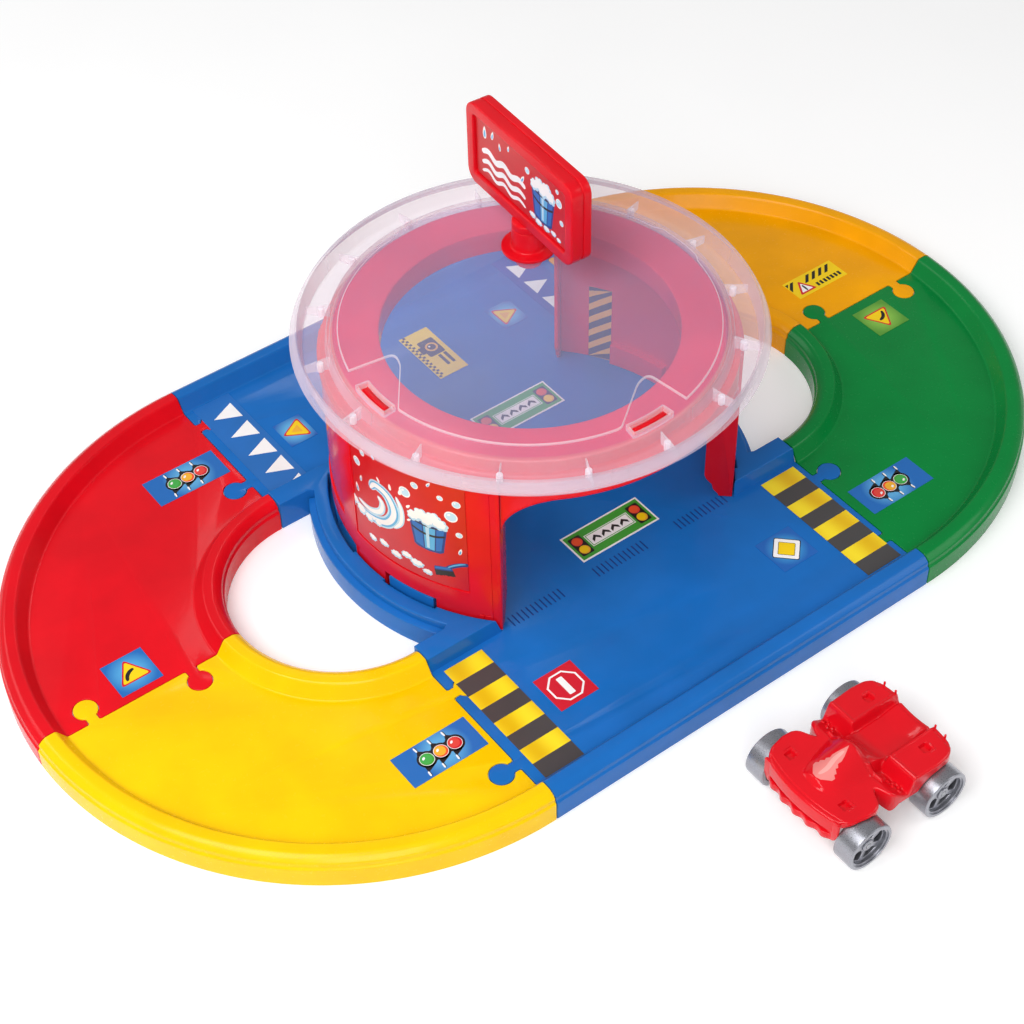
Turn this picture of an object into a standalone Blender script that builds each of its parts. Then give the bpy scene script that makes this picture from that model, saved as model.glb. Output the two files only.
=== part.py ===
# Toy car wash playset: clip-together road pieces round a wash house with a clear roof, and a toy quad.
# Metres, +Z up. The origin is on the ground under the middle of the wash house.
# +X runs along the lanes to the orange and green end, +Y to the back lane.

import math

import bmesh
import bpy
from mathutils import Matrix, Vector

# Clearances
SEAT_GAP = 0.0003  # between faces that rest on each other
JOINT_GAP = 0.0006  # between the ends of two road pieces
KNOB_CLEARANCE = 0.0005  # round a puzzle knob in its socket
TURN_CLEARANCE = 0.0004  # round a shaft or a snap fit
OVERRUN = 0.002  # how far a cutter runs past what it cuts

# Road
LANE_HALF_LENGTH = 0.157
TRACK_OUTER_RADIUS = 0.230
TRACK_INNER_RADIUS = 0.080
FLOOR_TOP = 0.013
SHELL_WALL = 0.0022
TRACK_STEPS = 16

# Curb, measured from its skirt towards the lane
CURB_TOP = 0.0235
CURB_WIDTH = 0.0205
CURB_ROUND = 0.0012
CURB_CROWN_START = 0.0045
CURB_CROWN_END = 0.0135
PLINTH_TOP = 0.0150
PLINTH_LEDGE = 0.0014
SHOULDER_TOP = 0.0195

# Puzzle knobs
KNOB_HEAD_RADIUS = 0.008
KNOB_NECK_HALF = 0.0036
KNOB_REACH = 0.012  # from the joint to the middle of the head
KNOB_FLARE = 0.0018
KNOB_OFFSET_SHARE = 0.3211  # either side of the lane's middle, as a share of the lane's width
KNOB_STEPS = 10

# Raised walks on the base, between the wall's foot and the gap in the ring
WALK_LANE_EDGE = 0.098
WALK_SLOPE = 0.0030
WALK_WALL_GAP = 0.0008  # from the wall's foot to the walk
WALK_INNER_WALL = 0.0036
WALK_WIDTH = 0.016
WALK_LEDGE_WIDTH = 0.0045
WALK_LEDGE_DROP = 0.007
WALK_LEDGE_FALL = 0.0010
WALK_LEDGE_HALF_ANGLE = 31.0
WALK_ROUND = 0.0008
WALK_STEPS = 16

# Clips in the walk that hold the foot of a wall, as angles from the wall's middle
CLIP_SLOTS = ((-37.0, -5.0), (8.5, 26.0))
CLIP_TABS = ((-32.5, -20.0), (10.0, 25.0))
CLIP_SLOT_DEPTH = 0.0018
CLIP_RISE = 0.005  # above the walk
CLIP_STEPS = 6

# Support under the base
FOOT_RADIUS = 0.014
FOOT_STEPS = 24
RIB_THICKNESS = 0.0024
RIB_LIFT = 0.001  # ribs end this far above the ground

# Walls of the wash house
WALL_OUTER_RADIUS = 0.1392
WALL_THICKNESS = 0.0025
WALL_HALF_ANGLE = 44.1
WALL_STEPS = 18
FIN_THICKNESS = 0.0026
FIN_WIDTH = 0.0202
FIN_TRIM = 0.0005  # the fin's top and the panel's foot stand back by this much
FIN_STEP_HEIGHT = 0.019
FIN_STEP_DEPTH = 0.0105
FIN_STEP_SHARES = ((0.0, 1.0), (0.12, 0.95), (0.30, 0.62), (0.52, 0.55), (0.80, 0.12), (1.0, 0.0))
PICTURE_HALF_ANGLE = 36.0
PICTURE_BOTTOM = 0.045
PICTURE_TOP_MARGIN = 0.005
PICTURE_RECESS = 0.0011
NOTCH_DEPTH = 0.0047  # of the notches that the clips stand in
NOTCH_CLEARANCE = 0.0015
NOTCH_BACK = 0.0026

# Ring and arches over the walls
RING_BOTTOM = 0.145
RING_THICKNESS = 0.0026
RING_WIDTH = 0.0395
RING_SETBACK = 0.0017
RING_LIP_WIDTH = 0.0022
RING_LIP_DROP = 0.005
RING_STEPS = 48
ARCH_INSET = 0.0004
ARCH_THICKNESS = 0.0025
ARCH_DROP = 0.012
ARCH_FILLET = 0.030  # down the wall
ARCH_FILLET_RUN = 0.038  # along the arch
ARCH_STEPS = 26
FIN_SIDE_GAP = 0.0005
TAB_THICKNESS = 0.0026
TAB_HALF_ANGLE = 5.6
TAB_TOP_DROP = 0.0006  # below the roof deck's top

# Roof tray
DECK_RISE = 0.0139  # of the deck's top over the ring
TRAY_WALL = 0.0020
DECK_DRAFT = 0.0012
DECK_EDGE = 0.0009
GUTTER_SEAT = 0.0045  # how far the gutter reaches in over the ring
GUTTER_WIDTH = 0.0154
RIM_DRAFT = 0.0020
RIM_CREST_WIDTH = 0.0012
RIM_RISE = 0.0035  # over the deck
LIP_REACH = 0.0042
LIP_FALL = 0.0045
LIP_FLARE = 0.0014
LIP_HEIGHT = 0.008
TRAY_STEPS = 48
RIB_COUNT = 16
TRAY_RIB_THICKNESS = 0.0013
TRAY_RIB_DROP = 0.0010
TRAY_RIB_FALL = 0.0040
RIB_KNOB_RADIUS = 0.0022
RIB_KNOB_INSET = 0.0055
RIB_KNOB_STEPS = 8
PLATEAU_RISE = 0.0015
PLATEAU_MARGIN = 0.0070
PLATEAU_FRONT_SETBACK = 0.0063
PLATEAU_NOTCH_DEPTH = 0.0318
PLATEAU_NOTCH_ANGLES = (166.3, 164.4, 170.5, 189.0)
PLATEAU_MIRROR_ANGLE = 225.0
PLATEAU_ROUND_SHARE = 0.043  # of the notch's radius
PLATEAU_STEPS = 48
SLOT_MARGIN = 0.0066
SLOT_WIDTH = 0.0070
SLOT_HALF_ANGLE = 6.7
SLOT_COLLAR = 0.0014
SLOT_COLLAR_DROP = 0.0050

# Sign
SIGN_X = 0.0430
SIGN_Y = 0.0575
SIGN_TURN = -93.4  # direction of the board's long side, in degrees from +X
SOCKET_FLANGE_RADIUS = 0.0186
SOCKET_FLANGE = 0.0022
SOCKET_TUBE_RADIUS = 0.0113
SOCKET_TUBE_HEIGHT = 0.018
SOCKET_PLUG_RADIUS = 0.0092
SOCKET_PLUG_DEPTH = 0.012
SOCKET_STEPS = 24
STEM_RADIUS = 0.0074
STEM_DEPTH = 0.022
STEM_COLLAR_HEIGHT = 0.0052
BOARD_LENGTH = 0.123
BOARD_HEIGHT = 0.064
BOARD_DEPTH = 0.0157
BOARD_CORNER = 0.010
BOARD_CORNER_STEPS = 6
BOARD_BORDER = 0.0085
BOARD_RECESS = 0.0026
BOARD_EDGE = 0.0007
FRAME_DEPTH = 0.0082
GROOVE_WIDTH = 0.0014
GROOVE_DEPTH = 0.0008
STEM_BLOCK_HALF = 0.009

# Labels
LABEL_THICKNESS = 0.0003
LABEL_MARGIN = 0.0008
STRIP_WIDTH = 0.030
STRIP_LENGTH = 0.107
SQUARE_LABEL = 0.030
BAR_LABEL_LENGTH = 0.066
BAR_LABEL_WIDTH = 0.0265
CAMERA_LABEL_LENGTH = 0.054
CAMERA_LABEL_WIDTH = 0.025
TRIANGLE_SIGN_LENGTH = 0.026
TRIANGLE_SIGN_WIDTH = 0.022
LIGHT_LABEL_LENGTH = 0.056
LIGHT_LABEL_WIDTH = 0.027
WORKS_LABEL_LENGTH = 0.0485
WORKS_LABEL_WIDTH = 0.021
STRIPE_LABEL_WIDTH = 0.0175
STRIPE_LABEL_BOTTOM = 0.018
STRIPE_LABEL_HEIGHT = 0.066

# Toy quad, in its own frame: its front looks to -X, its middle on the ground is the origin
CAR_X = 0.0
CAR_Y = -0.3235
CAR_WHEELBASE = 0.062
CAR_TRACK_WIDTH = 0.093  # over the outer faces of the wheels
WHEEL_RADIUS = 0.017
WHEEL_WIDTH = 0.015
WHEEL_RIM_RADIUS = 0.0132
WHEEL_RIM_STEP = 0.0012
WHEEL_WEB = 0.003
WHEEL_DISH = 0.0035
WHEEL_HUB_RADIUS = 0.0042
WHEEL_HUB_LENGTH = 0.009
WHEEL_SPOKES = 5
WHEEL_SPOKE_HALF = 0.0017
WHEEL_CHAMFER = 0.0008
WHEEL_STEPS = 24
AXLE_RADIUS = 0.0016
AXLE_STEPS = 12
BODY_HALF_WIDTH = 0.0345
BODY_FRONT = 0.0495
BODY_REAR = 0.0480
BODY_UNDER = 0.0275
BODY_FRONT_DECK = 0.0375
BODY_REAR_DECK = 0.0425
BODY_SKIN = 0.0022
BODY_ROUND = 0.0025
WHEEL_WELL_CLEARANCE = 0.0010
WHEEL_WELL_STEPS = 24
HOOD_TOP = 0.051
HOOD_HALF_WIDTH = 0.0165
HOOD_CREST_HALF_WIDTH = 0.006
BAR_HALF_LENGTH = 0.0235
BAR_WIDTH = 0.0055
BAR_HEIGHT = 0.0045
SEAT_FLOOR = 0.0335
SEAT_HALF_WIDTH = 0.0165
POCKET = 0.0055
POCKET_DEPTH = 0.0016
CHASSIS_HALF_WIDTH = 0.013
CHASSIS_BOTTOM = 0.020
BEARING_LENGTH = 0.010
BEARING_DROP = 0.0055  # below the axle's middle
BUMPER_BOTTOM = 0.0175
BUMPER_HEIGHT = 0.0055
BUMPER_HALF_LENGTH = 0.028
BUMPER_THICKNESS = 0.006
DECAL_LENGTH = 0.024
DECAL_WIDTH = 0.016

# Sizes that follow from the ones above
LANE_MIDDLE = (TRACK_OUTER_RADIUS + TRACK_INNER_RADIUS) / 2
LANE_WIDTH = TRACK_OUTER_RADIUS - TRACK_INNER_RADIUS - 2 * CURB_WIDTH
KNOB_OFFSET = KNOB_OFFSET_SHARE * LANE_WIDTH
FLOOR_BOTTOM = FLOOR_TOP - SHELL_WALL
WALK_INNER_RADIUS = WALL_OUTER_RADIUS + WALK_WALL_GAP
WALK_OUTER_RADIUS = WALK_INNER_RADIUS + WALK_WIDTH
WALK_LEDGE_RADIUS = WALK_OUTER_RADIUS - WALK_LEDGE_WIDTH
WALK_LEDGE_Z = CURB_TOP - WALK_LEDGE_DROP
CLIP_SLOT_RADIUS = WALK_INNER_RADIUS + CLIP_SLOT_DEPTH
CLIP_TOP = CURB_TOP + CLIP_RISE
NOTCH_RADIUS = WALL_OUTER_RADIUS - NOTCH_DEPTH
NOTCH_TOP = CLIP_TOP + NOTCH_CLEARANCE
WALL_INNER_RADIUS = WALL_OUTER_RADIUS - WALL_THICKNESS
FIN_INNER_RADIUS = WALL_OUTER_RADIUS - FIN_WIDTH
WALL_FOOT = FLOOR_TOP + SEAT_GAP
WALL_TOP = RING_BOTTOM - SEAT_GAP
PICTURE_TOP = RING_BOTTOM - PICTURE_TOP_MARGIN
RING_TOP = RING_BOTTOM + RING_THICKNESS
RING_OUTER_RADIUS = WALL_OUTER_RADIUS - RING_SETBACK
RING_HOLE_RADIUS = RING_OUTER_RADIUS - RING_WIDTH
ARCH_BOTTOM = RING_BOTTOM - ARCH_DROP
TRAY_SEAT = RING_TOP + SEAT_GAP
DECK_TOP = RING_TOP + DECK_RISE
DECK_BOTTOM = DECK_TOP - TRAY_WALL
GUTTER_INNER_RADIUS = RING_OUTER_RADIUS - GUTTER_SEAT
GUTTER_OUTER_RADIUS = GUTTER_INNER_RADIUS + GUTTER_WIDTH
DECK_RADIUS = GUTTER_INNER_RADIUS - DECK_DRAFT
RIM_CREST_RADIUS = GUTTER_OUTER_RADIUS + RIM_DRAFT
RIM_TOP = DECK_TOP + RIM_RISE
LIP_KNEE_RADIUS = RIM_CREST_RADIUS + LIP_REACH
LIP_KNEE_TOP = RIM_TOP - LIP_FALL
LIP_RADIUS = LIP_KNEE_RADIUS + LIP_FLARE
LIP_BOTTOM = RIM_TOP - LIP_HEIGHT
TRAY_RIB_INNER_TOP = DECK_TOP - TRAY_RIB_DROP
TRAY_RIB_OUTER_TOP = TRAY_RIB_INNER_TOP - TRAY_RIB_FALL
PLATEAU_RADIUS = DECK_RADIUS - PLATEAU_MARGIN
PLATEAU_FRONT_RADIUS = PLATEAU_RADIUS - PLATEAU_FRONT_SETBACK
PLATEAU_NOTCH_RADIUS = PLATEAU_RADIUS - PLATEAU_NOTCH_DEPTH
PLATEAU_ROUND = PLATEAU_ROUND_SHARE * PLATEAU_NOTCH_RADIUS
SLOT_OUTER_RADIUS = DECK_RADIUS - SLOT_MARGIN
SLOT_INNER_RADIUS = SLOT_OUTER_RADIUS - SLOT_WIDTH
TAB_INNER_RADIUS = (SLOT_INNER_RADIUS + SLOT_OUTER_RADIUS - TAB_THICKNESS) / 2
PLATEAU_TOP = DECK_TOP + PLATEAU_RISE
SOCKET_SEAT = PLATEAU_TOP + SEAT_GAP
SOCKET_TOP = SOCKET_SEAT + SOCKET_TUBE_HEIGHT
BOARD_BOTTOM = SOCKET_TOP + SEAT_GAP + STEM_COLLAR_HEIGHT + SEAT_GAP
AXLE_HEIGHT = WHEEL_RADIUS
WHEEL_INNER_FACE = CAR_TRACK_WIDTH / 2 - WHEEL_WIDTH

RED = "D8101C"
YELLOW = "FFD000"
ORANGE = "FFAE00"
GREEN = "00923A"
BLUE = "1B5CB4"
MILKY = "F1E4EE"
SILVER = "8E9096"
WHITE = "F4F4F4"
LABEL_BLUE = "1E6DB8"
LABEL_GREEN = "3F9A35"


def clear_scene():
    for item in list(bpy.data.objects):
        bpy.data.objects.remove(item, do_unlink=True)


def linear(hex_colour):
    """sRGB hex to linear red, green, blue."""
    values = [int(hex_colour[i : i + 2], 16) / 255 for i in (0, 2, 4)]
    return [v / 12.92 if v <= 0.04045 else ((v + 0.055) / 1.055) ** 2.4 for v in values]


def plastic(name, hex_colour, roughness=0.3, metallic=0.0, alpha=1.0):
    material = bpy.data.materials.new(name)
    material.use_nodes = True
    shader = material.node_tree.nodes["Principled BSDF"]
    shader.inputs["Base Color"].default_value = (*linear(hex_colour), 1.0)
    shader.inputs["Roughness"].default_value = roughness
    shader.inputs["Metallic"].default_value = metallic
    shader.inputs["Alpha"].default_value = alpha
    return material


def ring_solid(rings):
    """Mesh through a row of closed rings of points, capped at both ends."""
    mesh = bmesh.new()
    rows = [[mesh.verts.new(point) for point in ring] for ring in rings]
    count = len(rings[0])
    for near, far in zip(rows, rows[1:]):
        for j in range(count):
            k = (j + 1) % count
            mesh.faces.new((near[j], near[k], far[k], far[j]))
    mesh.faces.new(list(reversed(rows[0])))
    mesh.faces.new(rows[-1])
    bmesh.ops.recalc_face_normals(mesh, faces=mesh.faces)
    return mesh


def prism(outline, bottom, top):
    return ring_solid([[(x, y, bottom) for x, y in outline], [(x, y, top) for x, y in outline]])


def loft(layers):
    """Solid through outlines at rising heights: layers holds (outline, height)."""
    return ring_solid([[(x, y, z) for x, y in outline] for outline, z in layers])


def box(low_x, high_x, low_y, high_y, bottom, top):
    outline = [(low_x, low_y), (high_x, low_y), (high_x, high_y), (low_x, high_y)]
    return prism(outline, bottom, top)


def circle(radius, steps, x=0.0, y=0.0):
    angles = [2 * math.pi * i / steps for i in range(steps)]
    return [(x + radius * math.cos(a), y + radius * math.sin(a)) for a in angles]


def polar(angle, radius, along=0.0, centre_x=0.0):
    """Point at an angle in degrees round (centre_x, 0), shifted along the tangent."""
    a = math.radians(angle)
    x = centre_x + radius * math.cos(a) - along * math.sin(a)
    y = radius * math.sin(a) + along * math.cos(a)
    return x, y


def arc(radius, start, end, steps, centre_x=0.0):
    span = end - start
    return [polar(start + span * i / steps, radius, 0.0, centre_x) for i in range(steps + 1)]


def sector(profile, start, end, steps, centre_x=0.0):
    """Turns a closed (radius, height) outline round the vertical line at centre_x."""
    rings = []
    for i in range(steps + 1):
        angle = start + (end - start) * i / steps
        rings.append([(*polar(angle, r, 0.0, centre_x), z) for r, z in profile])
    return ring_solid(rings)


def turned(profile, steps):
    """Turns a closed (radius, height) outline a full turn round the Z axis."""
    mesh = bmesh.new()
    columns = []
    for r, z in profile:
        if r == 0:
            columns.append([mesh.verts.new((0.0, 0.0, z))] * steps)
        else:
            columns.append([mesh.verts.new((*polar(360 * i / steps, r), z)) for i in range(steps)])
    for near, far in zip(columns, columns[1:] + columns[:1]):
        for i in range(steps):
            k = (i + 1) % steps
            corners = list(dict.fromkeys((near[i], near[k], far[k], far[i])))
            if len(corners) > 2:
                mesh.faces.new(corners)
    bmesh.ops.recalc_face_normals(mesh, faces=mesh.faces)
    return mesh


def plate_on_ray(profile, angle, thickness):
    """Plate of a (radius, height) outline standing on the ray at an angle."""
    rings = []
    for side in (-thickness / 2, thickness / 2):
        rings.append([(*polar(angle, r, side), z) for r, z in profile])
    return ring_solid(rings)


def rounded_rectangle(length, height, corner, steps):
    """Outline centred on the origin with round corners."""
    points = []
    corners = ((1, 1, 0), (-1, 1, 90), (-1, -1, 180), (1, -1, 270))
    for side_x, side_y, first in corners:
        middle_x = side_x * (length / 2 - corner)
        middle_y = side_y * (height / 2 - corner)
        for i in range(steps + 1):
            a = math.radians(first + 90 * i / steps)
            points.append((middle_x + corner * math.cos(a), middle_y + corner * math.sin(a)))
    return points


def rectangle(profile_low, profile_high, bottom, top):
    """Four corners of a (radius, height) rectangle."""
    return [(profile_low, bottom), (profile_high, bottom), (profile_high, top), (profile_low, top)]


def place(name, mesh, material, smooth=30.0):
    data = bpy.data.meshes.new(name)
    mesh.to_mesh(data)
    mesh.free()
    data.shade_smooth()
    data.set_sharp_from_angle(angle=math.radians(smooth))
    data.materials.append(material)
    item = bpy.data.objects.new(name, data)
    bpy.context.scene.collection.objects.link(item)
    return item


def tool(name, meshes):
    """Hidden helper made of separate bodies, for a Boolean."""
    joined = bmesh.new()
    for mesh in meshes:
        data = bpy.data.meshes.new(name)
        mesh.to_mesh(data)
        mesh.free()
        joined.from_mesh(data)
        bpy.data.meshes.remove(data)
    data = bpy.data.meshes.new(name)
    joined.to_mesh(data)
    joined.free()
    item = bpy.data.objects.new(name, data)
    item.hide_render = True
    item.display_type = "WIRE"
    bpy.context.scene.collection.objects.link(item)
    return item


def combine(item, operation, name, meshes):
    modifier = item.modifiers.new(name, "BOOLEAN")
    modifier.operation = operation
    modifier.solver = "EXACT"
    modifier.object = tool(f"{item.name}_{name}", meshes)
    if item.parent:
        modifier.object.parent = item.parent


def add(item, name, *meshes):
    combine(item, "UNION", name, meshes)


def cut(item, name, *meshes):
    combine(item, "DIFFERENCE", name, meshes)


# Road pieces


def curb_profile(edge, side):
    """Closed section of a hollow curb. edge is its skirt's place and side is 1 where the lane lies inside it."""
    slope_run = CURB_WIDTH - CURB_CROWN_END - CURB_ROUND
    slope_fall = CURB_TOP - CURB_ROUND - FLOOR_TOP
    bite = SHELL_WALL / 2
    foot = CURB_WIDTH + bite * slope_run / slope_fall
    over = [
        (0.0, 0.0),
        (0.0, PLINTH_TOP),
        (PLINTH_LEDGE, PLINTH_TOP + PLINTH_LEDGE),
        (PLINTH_LEDGE, SHOULDER_TOP),
        (CURB_CROWN_START, CURB_TOP - CURB_ROUND),
        (CURB_CROWN_START + 2 * CURB_ROUND, CURB_TOP),
        (CURB_CROWN_END, CURB_TOP),
        (CURB_CROWN_END + CURB_ROUND, CURB_TOP - CURB_ROUND),
        (foot, FLOOR_TOP - bite),
    ]
    under = [
        (foot - SHELL_WALL, FLOOR_TOP - bite),
        (CURB_CROWN_END, CURB_TOP - SHELL_WALL),
        (CURB_CROWN_START + 2 * CURB_ROUND, CURB_TOP - SHELL_WALL),
        (PLINTH_LEDGE + SHELL_WALL, SHOULDER_TOP),
        (PLINTH_LEDGE + SHELL_WALL, PLINTH_TOP + PLINTH_LEDGE),
        (SHELL_WALL, PLINTH_TOP),
        (SHELL_WALL, 0.0),
    ]
    return [(edge - side * u, z) for u, z in over + under]


def knob_points(socket):
    """Outline of a knob or of its socket, as (across, beyond the joint), in order across."""
    spare = KNOB_CLEARANCE if socket else 0.0
    sign = -1 if socket else 1
    neck = KNOB_NECK_HALF + spare
    head = KNOB_HEAD_RADIUS + spare
    edge = -JOINT_GAP / 2
    first = math.asin(neck / head)
    points = [(-neck - KNOB_FLARE, edge), (-neck, edge + sign * KNOB_FLARE)]
    for i in range(KNOB_STEPS + 1):
        turn = -first - (2 * math.pi - 2 * first) * i / KNOB_STEPS
        points.append((head * math.sin(turn), sign * (KNOB_REACH - head * math.cos(turn))))
    points += [(neck, edge + sign * KNOB_FLARE), (neck + KNOB_FLARE, edge)]
    return points


def joint_points(knob_outside):
    """The two features across a joint, as (radius, beyond the joint), from inside to outside."""
    places = ((LANE_MIDDLE - KNOB_OFFSET, knob_outside), (LANE_MIDDLE + KNOB_OFFSET, not knob_outside))
    return [(middle + across, beyond) for middle, socket in places for across, beyond in knob_points(socket)]


def track_floor(centre_x, start):
    """Floor plate of a quarter ring from the angle start, with a knob and a socket at each end."""
    inner = TRACK_INNER_RADIUS + CURB_WIDTH - SHELL_WALL
    outer = TRACK_OUTER_RADIUS - CURB_WIDTH + SHELL_WALL
    end = start + 90
    edge = JOINT_GAP / 2
    first = [(inner, -edge), *joint_points(True), (outer, -edge)]
    last = [(outer, -edge), *reversed(joint_points(False)), (inner, -edge)]
    outline = [polar(start, r, -beyond, centre_x) for r, beyond in first]
    outline += arc(outer, start, end, TRACK_STEPS, centre_x)[1:-1]
    outline += [polar(end, r, beyond, centre_x) for r, beyond in last]
    outline += arc(inner, end, start, TRACK_STEPS, centre_x)[1:-1]
    return prism(outline, FLOOR_BOTTOM, FLOOR_TOP)


def track_curb(edge, side, centre_x, start):
    gap = math.degrees(JOINT_GAP / 2 / edge)
    return sector(curb_profile(edge, side), start + gap, start + 90 - gap, TRACK_STEPS, centre_x)


def make_track(name, side, start, material):
    centre_x = side * LANE_HALF_LENGTH
    track = place(name, track_floor(centre_x, start), material)
    add(track, "outer_curb", track_curb(TRACK_OUTER_RADIUS, 1, centre_x, start))
    add(track, "inner_curb", track_curb(TRACK_INNER_RADIUS, -1, centre_x, start))


# Base


def base_edge(side, lane):
    """Joint edge of one lane end, as points from the inside of the lane to its outside."""
    knob_outside = side * lane > 0
    edge = side * LANE_HALF_LENGTH
    return [(edge + side * beyond, lane * across) for across, beyond in joint_points(knob_outside)]


def base_floor():
    """Floor plate under both lanes and the wash house."""
    end = LANE_HALF_LENGTH - JOINT_GAP / 2
    outside = TRACK_OUTER_RADIUS - CURB_WIDTH + SHELL_WALL
    inside = WALK_LANE_EDGE - SHELL_WALL / 2
    radius = WALK_INNER_RADIUS + WALK_INNER_WALL / 2
    corner = math.degrees(math.asin(inside / radius))
    outline = [(-end, -outside), (end, -outside)]
    outline += list(reversed(base_edge(1, -1)))
    outline += [(end, -inside), *arc(radius, -corner, corner, WALK_STEPS), (end, inside)]
    outline += base_edge(1, 1)
    outline += [(end, outside), (-end, outside)]
    outline += list(reversed(base_edge(-1, 1)))
    outline += [(-end, inside), *arc(radius, 180 - corner, 180 + corner, WALK_STEPS), (-end, -inside)]
    outline += base_edge(-1, -1)
    return prism(outline, FLOOR_BOTTOM, FLOOR_TOP)


def lane_curb(lane):
    """Straight outer curb of one lane."""
    end = LANE_HALF_LENGTH - JOINT_GAP / 2
    profile = curb_profile(TRACK_OUTER_RADIUS, 1)
    return ring_solid([[(x, lane * y, z) for y, z in profile] for x in (-end, end)])


def walk_outline(side, end, lane_edge, gap_edge, inner, outer):
    """Plan of a walk: round the wall's foot inside, round the gap in the ring outside."""
    lane_angle = math.degrees(math.asin(lane_edge / inner))
    gap_angle = math.degrees(math.asin(gap_edge / outer))
    middle = 90 - 90 * side
    outline = [(side * end, lane_edge * side)]
    outline += arc(inner, middle + lane_angle, middle - lane_angle, WALK_STEPS)
    outline += [(side * end, -lane_edge * side), (side * end, -gap_edge * side)]
    outline += arc(outer, middle - gap_angle, middle + gap_angle, WALK_STEPS)
    outline += [(side * end, gap_edge * side)]
    return outline


def walk_solid(side):
    end = LANE_HALF_LENGTH - JOINT_GAP / 2
    gap = TRACK_INNER_RADIUS
    slope = WALK_SLOPE * (CURB_TOP - WALK_ROUND - FLOOR_TOP) / (CURB_TOP - FLOOR_TOP)
    shoulder = WALK_LANE_EDGE - slope
    crown = WALK_LANE_EDGE - WALK_SLOPE - WALK_ROUND
    plain = (gap, WALK_INNER_RADIUS, WALK_OUTER_RADIUS)
    top = (gap + WALK_ROUND, WALK_INNER_RADIUS + WALK_ROUND, WALK_OUTER_RADIUS - WALK_ROUND)
    return loft(
        [
            (walk_outline(side, end, WALK_LANE_EDGE, *plain), 0.0),
            (walk_outline(side, end, WALK_LANE_EDGE, *plain), FLOOR_TOP),
            (walk_outline(side, end, shoulder, *plain), CURB_TOP - WALK_ROUND),
            (walk_outline(side, end, crown, *top), CURB_TOP),
        ]
    )


def walk_hollow(side):
    end = LANE_HALF_LENGTH - JOINT_GAP / 2 - SHELL_WALL
    low_lane = WALK_LANE_EDGE - SHELL_WALL
    top_lane = low_lane - WALK_SLOPE
    gap = TRACK_INNER_RADIUS + SHELL_WALL
    inner = WALK_INNER_RADIUS + WALK_INNER_WALL
    low_outer = WALK_OUTER_RADIUS - SHELL_WALL
    top_outer = WALK_LEDGE_RADIUS - SHELL_WALL
    return loft(
        [
            (walk_outline(side, end, low_lane, gap, inner, low_outer), -OVERRUN),
            (walk_outline(side, end, low_lane, gap, inner, low_outer), FLOOR_BOTTOM),
            (walk_outline(side, end, low_lane, gap, inner, top_outer), WALK_LEDGE_Z - SHELL_WALL),
            (walk_outline(side, end, top_lane, gap, inner, top_outer), CURB_TOP - SHELL_WALL),
        ]
    )


def walk_ledge(side):
    """Cutter for the stepped-back upper wall of a walk."""
    middle = 90 - 90 * side
    far = WALK_OUTER_RADIUS + OVERRUN
    profile = [
        (WALK_LEDGE_RADIUS, WALK_LEDGE_Z + WALK_LEDGE_FALL),
        (far, WALK_LEDGE_Z),
        (far, CURB_TOP + OVERRUN),
        (WALK_LEDGE_RADIUS, CURB_TOP + OVERRUN),
    ]
    return sector(profile, middle - WALK_LEDGE_HALF_ANGLE, middle + WALK_LEDGE_HALF_ANGLE, WALK_STEPS)


def clip_slot(side, span):
    middle = 90 - 90 * side
    profile = rectangle(WALL_OUTER_RADIUS, CLIP_SLOT_RADIUS, FLOOR_TOP + SEAT_GAP, CURB_TOP + OVERRUN)
    return sector(profile, middle + span[0], middle + span[1], CLIP_STEPS)


def clip_tab(side, span):
    middle = 90 - 90 * side
    low = NOTCH_RADIUS + TURN_CLEARANCE
    profile = rectangle(low, WALL_OUTER_RADIUS, FLOOR_TOP - SHELL_WALL / 2, CLIP_TOP)
    return sector(profile, middle + span[0], middle + span[1], CLIP_STEPS)


def make_base(material):
    base = place("base_plate", base_floor(), material)
    sides = (-1, 1)
    add(base, "curbs", lane_curb(-1), lane_curb(1))
    add(base, "walks", walk_solid(-1), walk_solid(1))
    cut(base, "walk_hollows", walk_hollow(-1), walk_hollow(1))
    cut(base, "walk_ledges", walk_ledge(-1), walk_ledge(1))
    cut(base, "clip_slots", *[clip_slot(side, span) for side in sides for span in CLIP_SLOTS])
    add(base, "clip_tabs", *[clip_tab(side, span) for side in sides for span in CLIP_TABS])
    rib_top = FLOOR_TOP - SHELL_WALL / 2
    half = RIB_THICKNESS / 2
    reach_x = WALK_INNER_RADIUS + WALK_INNER_WALL / 2
    reach_y = TRACK_OUTER_RADIUS - CURB_WIDTH + SHELL_WALL
    add(base, "long_rib", box(-reach_x, reach_x, -half, half, RIB_LIFT, rib_top))
    add(base, "cross_rib", box(-half, half, -reach_y, reach_y, RIB_LIFT, rib_top))
    add(base, "middle_foot", prism(circle(FOOT_RADIUS, FOOT_STEPS), 0.0, rib_top))


# Wash house


def wall_fin(angle):
    """Radial plate at a wall's end, its inner corner stepped back at the foot."""
    profile = [(WALL_OUTER_RADIUS - ARCH_INSET, WALL_FOOT)]
    for up, back in FIN_STEP_SHARES:
        profile.append((FIN_INNER_RADIUS + back * FIN_STEP_DEPTH, WALL_FOOT + up * FIN_STEP_HEIGHT))
    profile.append((FIN_INNER_RADIUS, WALL_TOP - FIN_TRIM))
    profile.append((WALL_OUTER_RADIUS - ARCH_INSET, WALL_TOP - FIN_TRIM))
    return plate_on_ray(profile, angle, FIN_THICKNESS)


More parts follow.
